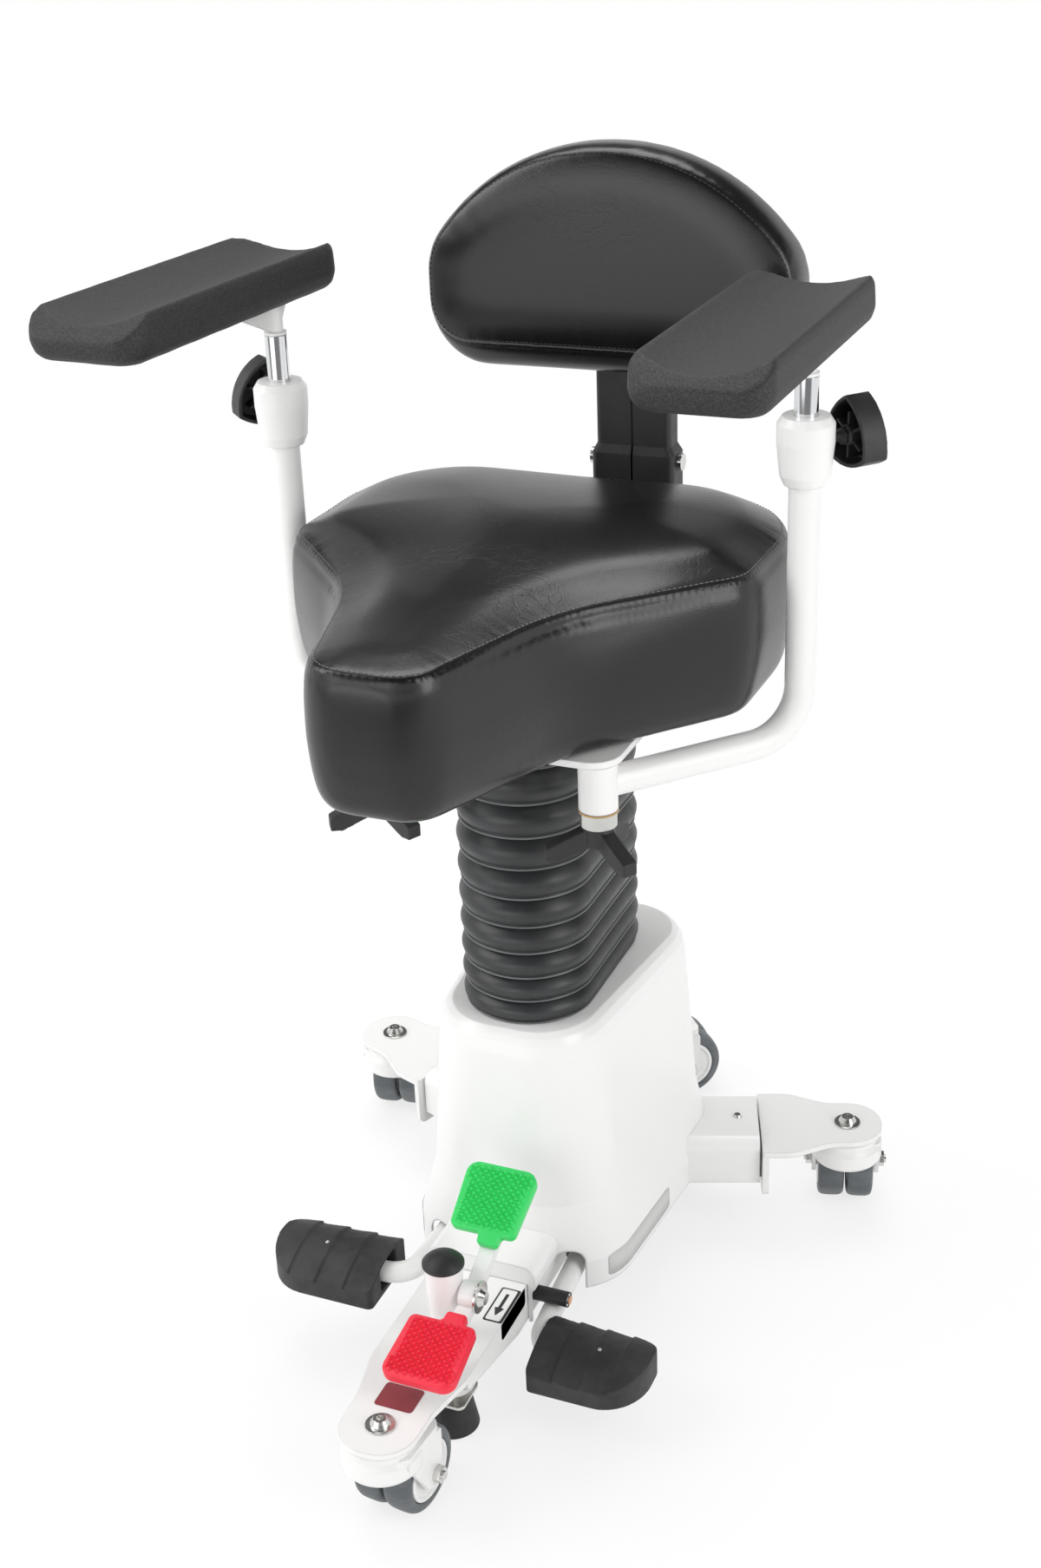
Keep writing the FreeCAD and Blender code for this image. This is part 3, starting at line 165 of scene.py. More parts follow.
# %% Floor
FLOOR_RADIUS, FLOOR_DROP = 6.0, 0.0006
floor_mesh = bpy.data.meshes.new("floor")
sheet = bmesh.new()
bmesh.ops.create_circle(sheet, cap_ends=True, segments=96, radius=FLOOR_RADIUS)
sheet.to_mesh(floor_mesh)
sheet.free()
floor = placed("floor", floor_mesh)
floor.location = (0, 0, -FLOOR_DROP)
floor_finish, add = shader("floor_white")
place = add("TexCoord").outputs["Object"]
reach = add("VectorMath", {0: place}, operation="LENGTH").outputs["Value"]
fade = add("MapRange", {
    "Value": reach, "From Min": 0.45, "From Max": 1.15, "To Min": 0.76}).outputs["Result"]
far = add("Math", {0: fade, 1: shown_ray(add)}, operation="MULTIPLY").outputs[0]
behind = add("SeparateXYZ", {0: place}).outputs["Y"]
sheet_end = add("MapRange", {
    "Value": behind, "From Min": -2.1, "From Max": -1.5, "To Min": 0.25}).outputs["Result"]
lit = add("BsdfDiffuse", {"Color": (0.93, 0.93, 0.93, 1)})
glow = add("Emission", {"Color": WHITE, "Strength": white_to_eye(add, sheet_end)})
mix = add("MixShader", {0: far, 1: lit.outputs[0], 2: glow.outputs[0]})
add("OutputMaterial", {"Surface": mix.outputs[0]})
floor_mesh.materials.append(floor_finish)
print("floor", tuple(round(v, 2) for v in floor.dimensions))

# %% [markdown]
# Black vinyl shows only what it mirrors, so the lamps are large soft boxes: one high on the left,
# one overhead and behind, and weaker ones on the right and beside the camera. Their size gives the broad
# pale sheen on the seat's lobes and keeps the shadows on the floor faint.

# %% Lamps
def soft_box(name, spot, aim, size, watts):
    """A rectangular lamp at a spot, turned towards its aim."""
    light = bpy.data.lights.new(name, "AREA")
    light.shape = "RECTANGLE"
    light.size, light.size_y = size
    light.energy = watts
    lamp = placed(name, light)
    lamp.location = spot
    lamp.rotation_euler = (Vector(aim) - Vector(spot)).to_track_quat("-Z", "Y").to_euler()
    print(name, "at", spot, watts, "W")


soft_box("lamp_left", (-2.0, -1.0, 2.2), aim=(0, 0, 0.6), size=(1.6, 1.6), watts=34)
soft_box("lamp_over", (-0.5, 0.7, 2.9), aim=(0, 0, 0.6), size=(2.2, 1.4), watts=40)
soft_box("lamp_right", (2.2, -0.6, 1.6), aim=(0, 0, 0.5), size=(1.2, 1.8), watts=26)
soft_box("lamp_front", (-0.9, -2.6, 0.85), aim=(0, 0, 0.5), size=(2.4, 1.6), watts=17)

# %% [markdown]
# One recipe serves most finishes: a principled shader whose colour wanders a little over large patches,
# whose roughness wanders over smaller ones, and whose surface has a fine bump. A bevel node ahead of
# the bump rounds the edges that the solids leave sharp, as paint, moulding and tumbling do on the real
# pieces. Rounding every edge in the mesh instead would cost far more faces and look the same.

# %% Finishes: the shared recipe
def ramp(add, share, low, high):
    """A colour between two stops, each a position and a colour."""
    made = add("ValToRGB", {"Fac": share})
    for stop, (position, colour) in zip(made.color_ramp.elements, (low, high)):
        stop.position = position
        stop.color = (*colour, 1)
    return made.outputs["Color"]


def finish(name, colour, second, rough, patch=6.0, grain=400.0, bump=0.1, depth=0.0002,
           edge=0.0008, metal=0.0, coat=0.0, stretch=(1, 1, 1), cells=False, spread=0.12):
    """Two colours in patches, uneven roughness, fine bump and rounded edges; lengths in metres."""
    made, add = shader(name)
    place = add("TexCoord").outputs["Object"]
    place = add("Mapping", {"Vector": place, "Scale": stretch}).outputs["Vector"]
    patches = add("TexNoise", {"Vector": place, "Scale": patch, "Detail": 6.0, "Roughness": 0.6})
    tint = ramp(add, patches.outputs["Fac"], (0.38, colour), (0.72, second))
    sheen = add("TexNoise", {"Vector": place, "Scale": patch * 7.0, "Detail": 4.0})
    level = add("MapRange", {
        "Value": sheen.outputs["Fac"], "From Min": 0.3, "From Max": 0.7,
        "To Min": rough * (1 - spread), "To Max": min(1.0, rough * (1 + spread))})
    if cells:
        fine = add("TexVoronoi", {"Vector": place, "Scale": grain}).outputs["Distance"]
    else:
        fine = add("TexNoise", {"Vector": place, "Scale": grain, "Detail": 3.0}).outputs["Fac"]
    relief = {"Strength": bump, "Distance": depth, "Height": fine}
    if edge > 0:
        relief["Normal"] = add("Bevel", {"Radius": edge}, samples=4).outputs["Normal"]
    body = add("BsdfPrincipled", {
        "Base Color": tint, "Metallic": metal, "Roughness": level.outputs["Result"],
        "Coat Weight": coat, "Coat Roughness": 0.12, "Normal": add("Bump", relief).outputs["Normal"]})
    add("OutputMaterial", {"Surface": body.outputs["BSDF"]})
    return made


print("recipe ready")

# %% [markdown]
# The steel of the stool is powder-coated white, plated or chromed, and the base cover is a glossy
# moulding. Powder coat has a faint orange peel, which is a soft bump of large grain. Bare metals are the
# same recipe with the metal turned up, and only the roughness tells zinc from chrome.

# %% Finishes: paint and metal
white_paint = finish(
    "white_powder_coat", (0.85, 0.847, 0.838), (0.875, 0.872, 0.864), 0.34, patch=5,
    grain=260, bump=0.06, depth=0.0003, edge=0.002, coat=0.15, spread=0.03)
cover_white = finish(
    "white_moulding", (0.86, 0.86, 0.852), (0.88, 0.88, 0.873), 0.3, patch=3,
    grain=900, bump=0.02, depth=0.0001, edge=0.003, coat=0.15, spread=0.02)
strip_grey = finish(
    "pale_grey_strip", (0.60, 0.60, 0.59), (0.64, 0.64, 0.63), 0.5, patch=12,
    grain=900, bump=0.05, depth=0.0001, edge=0.0)
dark_enamel = finish("dark_enamel", (0.05, 0.05, 0.055), (0.09, 0.09, 0.095), 0.45, patch=9, grain=300)
zinc = finish(
    "bright_zinc", (0.62, 0.62, 0.60), (0.72, 0.71, 0.69), 0.26, patch=9,
    grain=500, bump=0.03, depth=0.0001, metal=1.0)
chrome = finish(
    "polished_chrome", (0.72, 0.73, 0.75), (0.80, 0.80, 0.81), 0.07, patch=8,
    grain=900, bump=0.02, depth=0.00005, edge=0.0005, metal=1.0)
bronze = finish(
    "bearing_bronze", (0.48, 0.32, 0.15), (0.60, 0.42, 0.22), 0.35, patch=60,
    grain=900, bump=0.08, depth=0.0001, edge=0.0003, metal=1.0)
copper = finish(
    "copper_end", (0.62, 0.30, 0.16), (0.72, 0.38, 0.22), 0.35, patch=60,
    grain=700, bump=0.05, depth=0.0001, edge=0.0, metal=1.0)
print("finishes", len(bpy.data.materials))

# %% [markdown]
# Knobs, pedals, rests and bellows are all black, yet no two look alike. What parts them is the grain of
# the mould, the roughness and how much pale dust or wear they show, so each has its own numbers. The
# bellows' lip is painted paler as a painted highlight, for the bright line of light along it. The brake's
# pads are the only strong colours on the stool.

# %% Finishes: plastic, rubber and foam
tyre_grey = finish(
    "tyre_grey", (0.095, 0.105, 0.112), (0.165, 0.178, 0.186), 0.5, patch=22,
    grain=500, bump=0.15, edge=0.001, stretch=(1, 1, 3))
hub_white = finish(
    "hub_white", (0.84, 0.84, 0.83), (0.87, 0.87, 0.86), 0.3, patch=12,
    grain=700, bump=0.04, depth=0.0001, edge=0.001, spread=0.04)
black_plastic = finish(
    "grained_plastic", (0.014, 0.014, 0.015), (0.026, 0.026, 0.027), 0.5, patch=14,
    grain=1500, bump=0.3, edge=0.0012, cells=True)
pedal_rubber = finish(
    "pedal_rubber", (0.018, 0.018, 0.019), (0.045, 0.045, 0.046), 0.6, patch=16,
    grain=1300, bump=0.35, depth=0.00025, edge=0.001, cells=True)
foot_rubber = finish(
    "foot_rubber", (0.016, 0.016, 0.016), (0.03, 0.03, 0.03), 0.6, patch=20,
    grain=700, bump=0.2)
fold_rubber = finish(
    "fold_rubber", (0.018, 0.019, 0.02), (0.036, 0.038, 0.04), 0.4, patch=14,
    grain=600, bump=0.08, edge=0.0, stretch=(1, 1, 0.3))
# The lip is painted paler than the folds: a painted highlight for the bright line of light along each
# lip.
lip_painted_highlight_rubber = finish(
    "rubber_lip_painted_highlight", (0.10, 0.104, 0.108), (0.16, 0.165, 0.17), 0.34, patch=20,
    grain=600, bump=0.05, depth=0.0001, edge=0.0)
foam_skin = finish(
    "foam_skin", (0.009, 0.009, 0.009), (0.042, 0.042, 0.041), 0.62, patch=650,
    grain=1600, bump=0.5, depth=0.0004, edge=0.0, spread=0.1)
bright = {"rough": 0.36, "patch": 20, "grain": 600, "edge": 0.0004}
green_rubber = finish("green_rubber", (0.03, 0.66, 0.13), (0.045, 0.72, 0.16), **bright)
red_rubber = finish("red_rubber", (0.82, 0.014, 0.042), (0.89, 0.02, 0.055), **bright)
rose_plate = finish(
    "dark_rose_plate", (0.24, 0.035, 0.045), (0.30, 0.05, 0.06), 0.4, patch=20,
    grain=600, bump=0.05, depth=0.0001, edge=0.0)
print("finishes", len(bpy.data.materials))

# %% [markdown]
# Upholstery vinyl needs more than the shared recipe. It has a fine pebble grain, a few long creases where
# it has been stretched over the foam, and a sheen that is broken by handling. The creases are a warped
# cell pattern seen only at its edges and only in patches.

# %% Finishes: upholstery vinyl and thread
def vinyl_finish(name):
    """Black vinyl with pebble grain, and creases where the clouds of its sheen are bright."""
    made, add = shader(name)
    place = add("TexCoord").outputs["Object"]
    cloud = add("TexNoise", {"Vector": place, "Scale": 7.0, "Detail": 5.0}).outputs["Fac"]
    tint = ramp(add, cloud, (0.0, (0.0045, 0.0045, 0.005)), (1.0, (0.010, 0.010, 0.0105)))
    level = add("MapRange", {
        "Value": cloud, "From Min": 0.3, "From Max": 0.7, "To Min": 0.24, "To Max": 0.31})
    pebble = add("TexVoronoi", {"Vector": place, "Scale": 950.0}).outputs["Distance"]
    fine = add("Bump", {"Strength": 0.22, "Distance": 0.00022, "Height": pebble}).outputs["Normal"]
    warp = add("TexNoise", {"Vector": place, "Scale": 26.0, "Detail": 5.0}).outputs["Color"]
    bent = add("VectorMath", {0: warp, 1: (0.10, 0.10, 0.10), 2: place}, operation="MULTIPLY_ADD")
    crease = add("TexVoronoi", {"Vector": bent.outputs["Vector"], "Scale": 52.0},
                 feature="DISTANCE_TO_EDGE").outputs["Distance"]
    line = add("MapRange", {"Value": crease, "From Min": 0.0, "From Max": 0.06}).outputs["Result"]
    where = add("MapRange", {"Value": cloud, "From Min": 0.48, "From Max": 0.62}).outputs["Result"]
    share = add("Math", {0: where, 1: 0.16}, operation="MULTIPLY").outputs[0]
    fold = add("Bump", {"Strength": share, "Distance": 0.0005, "Height": line, "Normal": fine})
    body = add("BsdfPrincipled", {
        "Base Color": tint, "Roughness": level.outputs["Result"], "Normal": fold.outputs["Normal"]})
    add("OutputMaterial", {"Surface": body.outputs["BSDF"]})
    return made


vinyl = vinyl_finish("black_vinyl")
spun = {"rough": 0.8, "patch": 300, "grain": 3000, "bump": 0.4, "depth": 0.0001, "edge": 0.0}
grey_thread = finish("grey_thread", (0.12, 0.12, 0.12), (0.19, 0.19, 0.19), **spun)
dark_thread = finish("dark_thread", (0.025, 0.025, 0.025), (0.05, 0.05, 0.05), **spun)
print("vinyl nodes", len(vinyl.node_tree.nodes))

# %% [markdown]
# The solids that already have the right shape keep it and only take a finish. Their sharp edges are
# rounded by the bevel in the finish, so nothing has to be remade.

# %% Dress the solids that stay
dress = [
    (white_paint, ["front_leg", "leg_brackets", "raise_pedal_arm", "lower_pedal_arm", "brake_rocker",
                   "seat_plate"]),
    (cover_white, ["base_cover"]),
    (dark_enamel, ["base_frame", "hydraulic_cylinder", "column_guide", "back_bracket"]),
    (zinc, ["base_fasteners", "pump_plunger", "pedal_pins", "brake_cup", "brake_plunger", "pivot_pins"]),
    (chrome, ["hydraulic_ram", "guide_rod"]),
    (bronze, ["arm_washers"]),
    (black_plastic, ["post_cap", "back_upright", "backrest_shell"]),
    (foot_rubber, ["brake_foot"]),
]
for side in SIDES:
    dress += [(white_paint, ["arm_" + side, "armrest_plate_" + side]), (chrome, ["arm_post_" + side])]
for spot in ("front", "right", "left", "rear"):
    dress += [(white_paint, ["caster_housing_" + spot]), (zinc, ["caster_axle_" + spot])]
for coat, names in dress:
    for name in names:
        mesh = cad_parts[name].data
        mesh.materials.clear()
        mesh.materials.append(coat)
print("dressed", sum(len(names) for _, names in dress), "solids")

# %% [markdown]
# The cushions, pads and rings are drawn from the same kind of outline as the solids: straight runs joined
# by arcs. A drawn curve would do, but runs and radii are what a pattern maker measures. A small helper
# samples such an outline evenly, so that rings of equal count can be skinned later.

# %% Outlines
ARC_STEPS, TIGHTEST = 12, 0.5


def lengths(points):
    """How far along a path of points each one lies."""
    steps = np.linalg.norm(np.diff(points, axis=0), axis=1)
    return np.concatenate([[0], np.cumsum(steps)])


def outline(points, radii, inset, count):
    """Even points round a counter-clockwise outline of runs and tangent arcs, moved in by inset."""
    total = len(points)
    runs = []
    for i in range(total):
        a, b = points[i], points[(i + 1) % total]
        size = math.hypot(b[0] - a[0], b[1] - a[1])
        ux, uy = (b[0] - a[0]) / size, (b[1] - a[1]) / size
        runs.append((a[0] - uy * inset, a[1] + ux * inset, ux, uy))
    path = []
    for i in range(total):
        px, py, ux, uy = runs[i - 1]
        qx, qy, vx, vy = runs[i]
        cross = ux * vy - uy * vx
        reach = ((qx - px) * vy - (qy - py) * vx) / cross
        corner = (px + reach * ux, py + reach * uy)
        swing = math.atan2(cross, ux * vx + uy * vy)
        side = math.copysign(1.0, swing)
        radius = max(TIGHTEST, radii[i] - side * inset)
        back = radius * math.tan(abs(swing) / 2)
        start = (corner[0] - ux * back, corner[1] - uy * back)
        centre = (start[0] - uy * radius * side, start[1] + ux * radius * side)
        first = math.atan2(start[1] - centre[1], start[0] - centre[0])
        for k in range(ARC_STEPS + 1):
            angle = first + swing * k / ARC_STEPS
            path.append((centre[0] + radius * math.cos(angle), centre[1] + radius * math.sin(angle)))
    path = np.array(path + path[:1])
    along = lengths(path)
    where = np.linspace(0, along[-1], count, endpoint=False)
    return np.stack([np.interp(where, along, path[:, 0]), np.interp(where, along, path[:, 1])], 1)


def mirrored(half, radii):
    """The right half of an outline with its other half across the middle."""
    return half + [(-x, y) for x, y in reversed(half)], radii + radii[::-1]


print("outline helpers ready")

# %% [markdown]
# A stack of equal rings becomes a closed skin by joining each point to its neighbours. Modelling by hand
# gives the same mesh, but numbers can be changed later. Each finished piece then rides on the body that
# carries it, and hides the solid that it stands for.

# %% Skins and pieces
def skin(rings, close_ends=True):
    """Vertices and faces of a tube through equal rings."""
    count = len(rings[0])
    verts = [tuple(p) for ring in rings for p in ring]
    faces = []
    for r in range(len(rings) - 1):
        for i in range(count):
            j = (i + 1) % count
            faces.append((r * count + i, r * count + j, (r + 1) * count + j, (r + 1) * count + i))
    if close_ends:
        faces.append(tuple(reversed(range(count))))
        faces.append(tuple(range((len(rings) - 1) * count, len(rings) * count)))
    return verts, faces


def piece(name, verts, faces, coat, smooth=True, unit=MM):
    """A new mesh object in metres, from millimetres unless told, with one finish."""
    mesh = bpy.data.meshes.new(name)
    mesh.from_pydata([Vector(v) * unit for v in verts], [], faces)
    mesh.validate()
    mesh.polygons.foreach_set("use_smooth", [smooth] * len(mesh.polygons))
    mesh.materials.append(coat)
    return placed(name, mesh)


def settle(made, body, slot, *nodes):
    """Puts a piece on its body and hides the solids that it stands for; the slot is not used."""
    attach(made, body)
    if nodes:
        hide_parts(*nodes)
    print(made.name, "faces", len(made.data.polygons), "rides on", body)
    return made


def points_of(made):
    """The places of a piece's vertices, in metres."""
    return np.array([v.co for v in made.data.vertices])


def move_points(made, co):
    made.data.vertices.foreach_set("co", co.ravel())
    made.data.update()


print("piece helpers ready")

# %% [markdown]
# Modifiers do the soft work: an even remesh, smoothing, one level of subdivision. Left on a piece they
# would be worked out again at every pose, so each is turned into plain mesh at once.

# %% Changes to a mesh
def changed(made, kind, **settings):
    """Runs one modifier on a piece and keeps the result as plain mesh."""
    change = made.modifiers.new(kind.lower(), kind)
    for setting, value in settings.items():
        setattr(change, setting, value)
    bpy.context.view_layer.update()
    seen = made.evaluated_get(bpy.context.evaluated_depsgraph_get())
    done = bpy.data.meshes.new_from_object(seen)
    made.modifiers.clear()
    old = made.data
    made.data = done
    bpy.data.meshes.remove(old)


def remeshed(made, voxel):
    changed(made, "REMESH", mode="VOXEL", voxel_size=voxel, use_smooth_shade=True)


def smoothed(made, times):
    changed(made, "SMOOTH", factor=0.5, iterations=times)


def subdivided(made):
    changed(made, "SUBSURF", levels=1, render_levels=1)


print("mesh helpers ready")

# %% [markdown]
# A stuffed seat is a vinyl skin held at its seams and pushed out by foam. Cloth with pressure inside does
# the same: the skin swells where nothing holds it. The travel of each point is evened out, capped, and
# faded to nothing at the seam and underneath, so that the cushion keeps its pattern.

# %% Inflating a cushion
EASE_TIMES = 80


def eased(made, field, times):
    """Evens out a value per vertex by averaging it with its neighbours."""
    ends = np.array([e.vertices[:] for e in made.data.edges])
    first = np.concatenate([ends[:, 0], ends[:, 1]])
    second = np.concatenate([ends[:, 1], ends[:, 0]])
    total = len(made.data.vertices)
    meet = np.bincount(first, minlength=total)[:, None]
    for _ in range(times):
        around = [np.bincount(first, field[second, k], total) for k in range(field.shape[1])]
        field = (field + np.stack(around, 1)) / (1 + meet)
    return field


def held(level, edge, seam, seam_side, shares, edge_run, seam_run, least=0.1):
    """The share of swelling kept at each level: none at the held edge, and little at the seam."""
    facing = math.copysign(1.0, seam - edge)
    share = np.where((level - seam_side) * facing < 0, *shares)
    start = np.clip((level - edge) * facing / edge_run, 0, 1)
    return share * start * np.minimum(1, np.abs(level - seam) / seam_run + least)


def inflated(made, share, cap, frames=20, pressure=4.0):
    """Swells a closed cushion by cloth pressure, and keeps a share of the swelling at each point."""
    rest = points_of(made)
    cloth = made.modifiers.new("cloth", "CLOTH").settings
    cloth.use_pressure = True
    cloth.uniform_pressure_force = pressure
    cloth.effector_weights.gravity = 0.0
    cloth.mass = 0.4
    cloth.tension_stiffness = 12
    cloth.compression_stiffness = 12
    cloth.bending_stiffness = 0.8
    for step in range(1, frames + 1):
        bpy.context.scene.frame_set(step)
    moved = points_of(made.evaluated_get(bpy.context.evaluated_depsgraph_get()))
    made.modifiers.clear()
    bpy.context.scene.frame_set(1)
    travel = eased(made, moved - rest, EASE_TIMES)
    size = np.linalg.norm(travel, axis=1, keepdims=True) + 1e-9
    travel *= np.minimum(size, cap) / size
    move_points(made, rest + travel * share[:, None])
    print(made.name, "swells at most", round(float(size.max() / MM), 1), "mm before the cap")


print("swelling is evened out", EASE_TIMES, "times")

# %% [markdown]
# A sewn seam pulls the skin in and gathers it into small puckers. A bump could fake both, but close up
# the seam's own shadow is what makes it look sewn, so the groove is real geometry: each point moves in by
# an amount that falls off with its distance from the seam.

# %% Seams
def seam_work(made, path, width, deep, pucker, gathered, batch=4000, fade=0.016, gathers=85.0):
    """Pulls the skin in along a seam, and puckers it beside the seam where gathered(points) is one."""
    along = lengths(path)
    co = points_of(made)
    normals = np.array([v.normal for v in made.data.vertices])
    near, at = np.zeros(len(co)), np.zeros(len(co))
    for first in range(0, len(co), batch):
        some = slice(first, first + batch)
        gap = np.linalg.norm(co[some][:, None, :] - path[None], axis=2)
        near[some] = gap.min(1)
        at[some] = along[gap.argmin(1)]
    groove = deep * np.exp(-(near / width) ** 2)
    gather = np.array([noise.noise(Vector((s * gathers, 3.1, 0.0))) for s in at])
    ripple = pucker * gather * np.exp(-near / fade) * gathered(co)
    move_points(made, co - normals * (groove - ripple)[:, None])
    print(made.name, "seam", round(float(along[-1]), 3), "m long")


print("seam helper ready")

# %% [markdown]
# Thread lies on the vinyl in short stitches that dive in at both ends. Each is a tube of three small
# rings, laid on the nearest point of the cushion, so that the row follows every swelling.

# %% Stitches
def stitches(name, path, surface, body, thread):
    """A row of thread stitches laid on a surface along a closed path."""
    length, pitch, thick, sides = 0.0034, 0.0046, 0.0005, 6
    lifts, widths = (-0.3, 0.55, -0.3), (0.7, 1.0, 0.7)
    tree = BVHTree.FromObject(surface, bpy.context.evaluated_depsgraph_get())
    points = np.concatenate([path, path[:1]])
    along = lengths(points)
    verts, faces = [], []
    for s in np.arange(0, along[-1] - pitch, pitch):
        ends = []
        for t in (s, s + length / 2, s + length):
            spot = Vector([np.interp(t, along, points[:, k]) for k in range(3)])
            ends.append(tree.find_nearest(spot)[:2])
        run = (ends[2][0] - ends[0][0]).normalized()
        base = len(verts)
        for (hit, normal), lift, wide in zip(ends, lifts, widths):
            side = run.cross(normal).normalized()
            middle = hit + normal * thick * lift
            for k in range(sides):
                angle = math.pi * 2 * k / sides
                verts.append(middle + (side * math.cos(angle) + normal * math.sin(angle)) * thick * wide)
        stitch = skin([verts[base + r * sides:base + (r + 1) * sides] for r in range(3)])[1]
        faces += [tuple(base + k for k in face) for face in stitch]
    settle(piece(name, verts, faces, thread, unit=1.0), body, "black_vinyl")


print("stitch helper ready")

# %% [markdown]
# The saddle has a narrow horn in front, a waist that lets the thighs drop, and two broad lobes. Its side
# panel leans out a little and rolls under at the board, and one stitched seam runs right round where
# the top panel meets the side. It starts as a skinned stack of outlines and is remeshed evenly, because
# cloth swells best on even faces.

# %% Saddle: outline and skin
seat_low, seat_seam, seat_shift = 594.5, 716.0, -15.0
waist_fill, seam_inset = 11.0, 0.8


def saddle_ring(z, inset):
    """The outline at a height; the waist fills out low down, and the left lobe clears the arm."""
    fill = waist_fill * max(0.0, (seat_seam - z) / (seat_seam - seat_low))
    horn = [(46.0, -291.0), (95.0 + fill, -127.0 - fill)]
    lobes = [(210.0, -16.0), (213.0, 192.0), (-200.0, 192.0), (-200.0, -18.0)]
    points = horn + lobes + [(-x, y) for x, y in reversed(horn)]
    radii = [40.0, 190.0, 44.0, 118.0, 118.0, 44.0, 190.0, 40.0]
    return [(x + seat_shift, y, z) for x, y in outline(points, radii, inset, count=220)]


seat_levels = [
    (seat_low, 34), (seat_low + 0.2, 24), (seat_low + 1.2, 16), (seat_low + 4, 9.5),
    (seat_low + 10, 4.5), (614, 1), (630, -1.5), (655, -3.5), (685, -3.5), (700, -2.6),
    (708, -1.4), (713, -0.4), (seat_seam, seam_inset), (717.8, 4.3), (720, 10),
    (722.4, 19), (724.4, 31), (725.4, 44)]
seat = piece("saddle_cushion", *skin([saddle_ring(*level) for level in seat_levels]), vinyl)
remeshed(seat, voxel=0.0045)
smoothed(seat, times=9)
print("saddle", len(seat.data.vertices), "points")

# %% [markdown]
# The top panel isn't flat: it stays low on the horn and rises towards the lobes, steeply just inside the
# seam and gently further in. A few smooth formulas on the points do this more evenly than pulling them
# about, and the cloth then only has to add the last few millimetres.

# %% Saddle: crown and swelling
horn_y, rise_run, crown_rise, crown_run, crown_power = -0.28, 0.30, 0.013, 0.068, 1.6
seam_z = seat_seam * MM
seam_path = np.array(saddle_ring(seat_seam, seam_inset)) * MM
co = points_of(seat)
inward = np.array([np.hypot(*(seam_path[:, :2] - p[:2]).T).min() for p in co])
rearward = np.clip((co[:, 1] - horn_y) / rise_run, 0, 1)
rearward = rearward ** 2 * (3 - 2 * rearward)
swell = 1 - np.exp(-(inward / crown_run) ** crown_power)
crown = (co[:, 2] - seam_z) * (0.5 + 0.5 * rearward) + crown_rise * rearward * swell
co[:, 2] = np.where(co[:, 2] > seam_z, seam_z + crown, co[:, 2])
move_points(seat, co)
co = points_of(seat)
print("saddle rises", round(float(co[:, 2].max() / MM - seat_seam), 1), "mm above its seam")
seat_share = held(co[:, 2] / MM, edge=seat_low + 4, seam=seat_seam, seam_side=seat_seam - 8,
                  shares=(0.28, 1.0), edge_run=20, seam_run=10)
inflated(seat, seat_share, cap=0.006)
smoothed(seat, times=3)
subdivided(seat)

# %% [markdown]
# The seam comes last, when the cushion has its final form. The row of grey stitches lies on the top
# panel, a few millimetres inside the groove, where a sewing machine's foot would run.

# %% Saddle: seam and stitches
seam_work(seat, seam_path, width=0.0024, deep=0.0018, pucker=0.0004,
          gathered=lambda co: co[:, 2] > seam_z)
settle(seat, "lift", "black_vinyl", "seat_cushion", "seat_board")
stitch_path = np.array(saddle_ring(seat_seam + 2.4, 6.0)) * MM
stitches("saddle_stitches", stitch_path, seat, "lift", grey_thread)

# %% [markdown]
# The backrest is a half-moon pad: a flat front panel, a seam set in from the edge and a boxing band that
# runs back to the moulded shell. It is made the same way as the saddle, but its rings are stacked from
# the shell forward.

# %% Backrest
back_seam, back_seam_low = 187.0, 834.5


def back_ring(y, inset, low=back_seam_low, corner=40.0):
    """The pad's outline at a depth; its lower edge drops and its corners widen towards the shell."""
    half = [(172.0, low), (172.0, 920.0), (95.0, 1012.0)]
    points, radii = mirrored(half, [corner, 60.0, 198.0])
    return [(x, y, z) for x, z in outline(points, radii, inset, count=200)]


back_levels = [
    (237.7, 10, 815, 50), (236, 6, 814, 50), (231, 2, 812, 50), (222, 0, 811, 50),
    (208, -0.5, 812, 50), (198, 0, 818, 48), (191, 0.8, 829, 44), (back_seam, 1.5),
    (185.4, 5), (183.8, 11), (182.3, 20), (181.2, 34)]
back_verts, back_faces = skin([back_ring(*level) for level in back_levels])
back = piece("backrest_pad", back_verts, [face[::-1] for face in back_faces], vinyl)
remeshed(back, voxel=0.005)
back_share = held(points_of(back)[:, 1] / MM, edge=234, seam=back_seam, seam_side=back_seam + 6,
                  shares=(0.25, 0.9), edge_run=15, seam_run=9)
inflated(back, back_share, cap=0.004)
smoothed(back, times=5)
subdivided(back)
back_path = np.array(back_ring(back_seam, 1.4)) * MM
seam_work(back, back_path, width=0.0024, deep=0.0017, pucker=0.0004,
          gathered=lambda co: co[:, 1] < back_seam * MM)
settle(back, "backrest", "black_vinyl", "backrest_cushion")
stitch_path = np.array(back_ring(back_seam - 2.4, 6.4)) * MM
stitches("backrest_stitches", stitch_path, back, "backrest", dark_thread)

# %% [markdown]
# The arm rests are self-skinned foam from a mould, so their edges are rounded but not puffed. The solid
# has the trough and the sloping front; an even remesh and a little smoothing give it the soft edges.

# %% Arm rests
def softened(name, node, coat, voxel, times):
    """A copy of a solid with its edges rounded as a mould would leave them."""
    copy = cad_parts[node].data.copy()
    copy.name = name
    made = placed(name, copy)
    changed(made, "WELD", merge_threshold=0.00005)
    remeshed(made, voxel)
    smoothed(made, times)
    made.data.polygons.foreach_set("use_smooth", [True] * len(made.data.polygons))
    made.data.materials.clear()
    made.data.materials.append(coat)
    return made


for side in SIDES:
    rest = softened("arm_rest_" + side, "armrest_" + side, foam_skin, voxel=0.0022, times=6)
    settle(rest, "rest_" + side, "foam_black", "armrest_" + side)

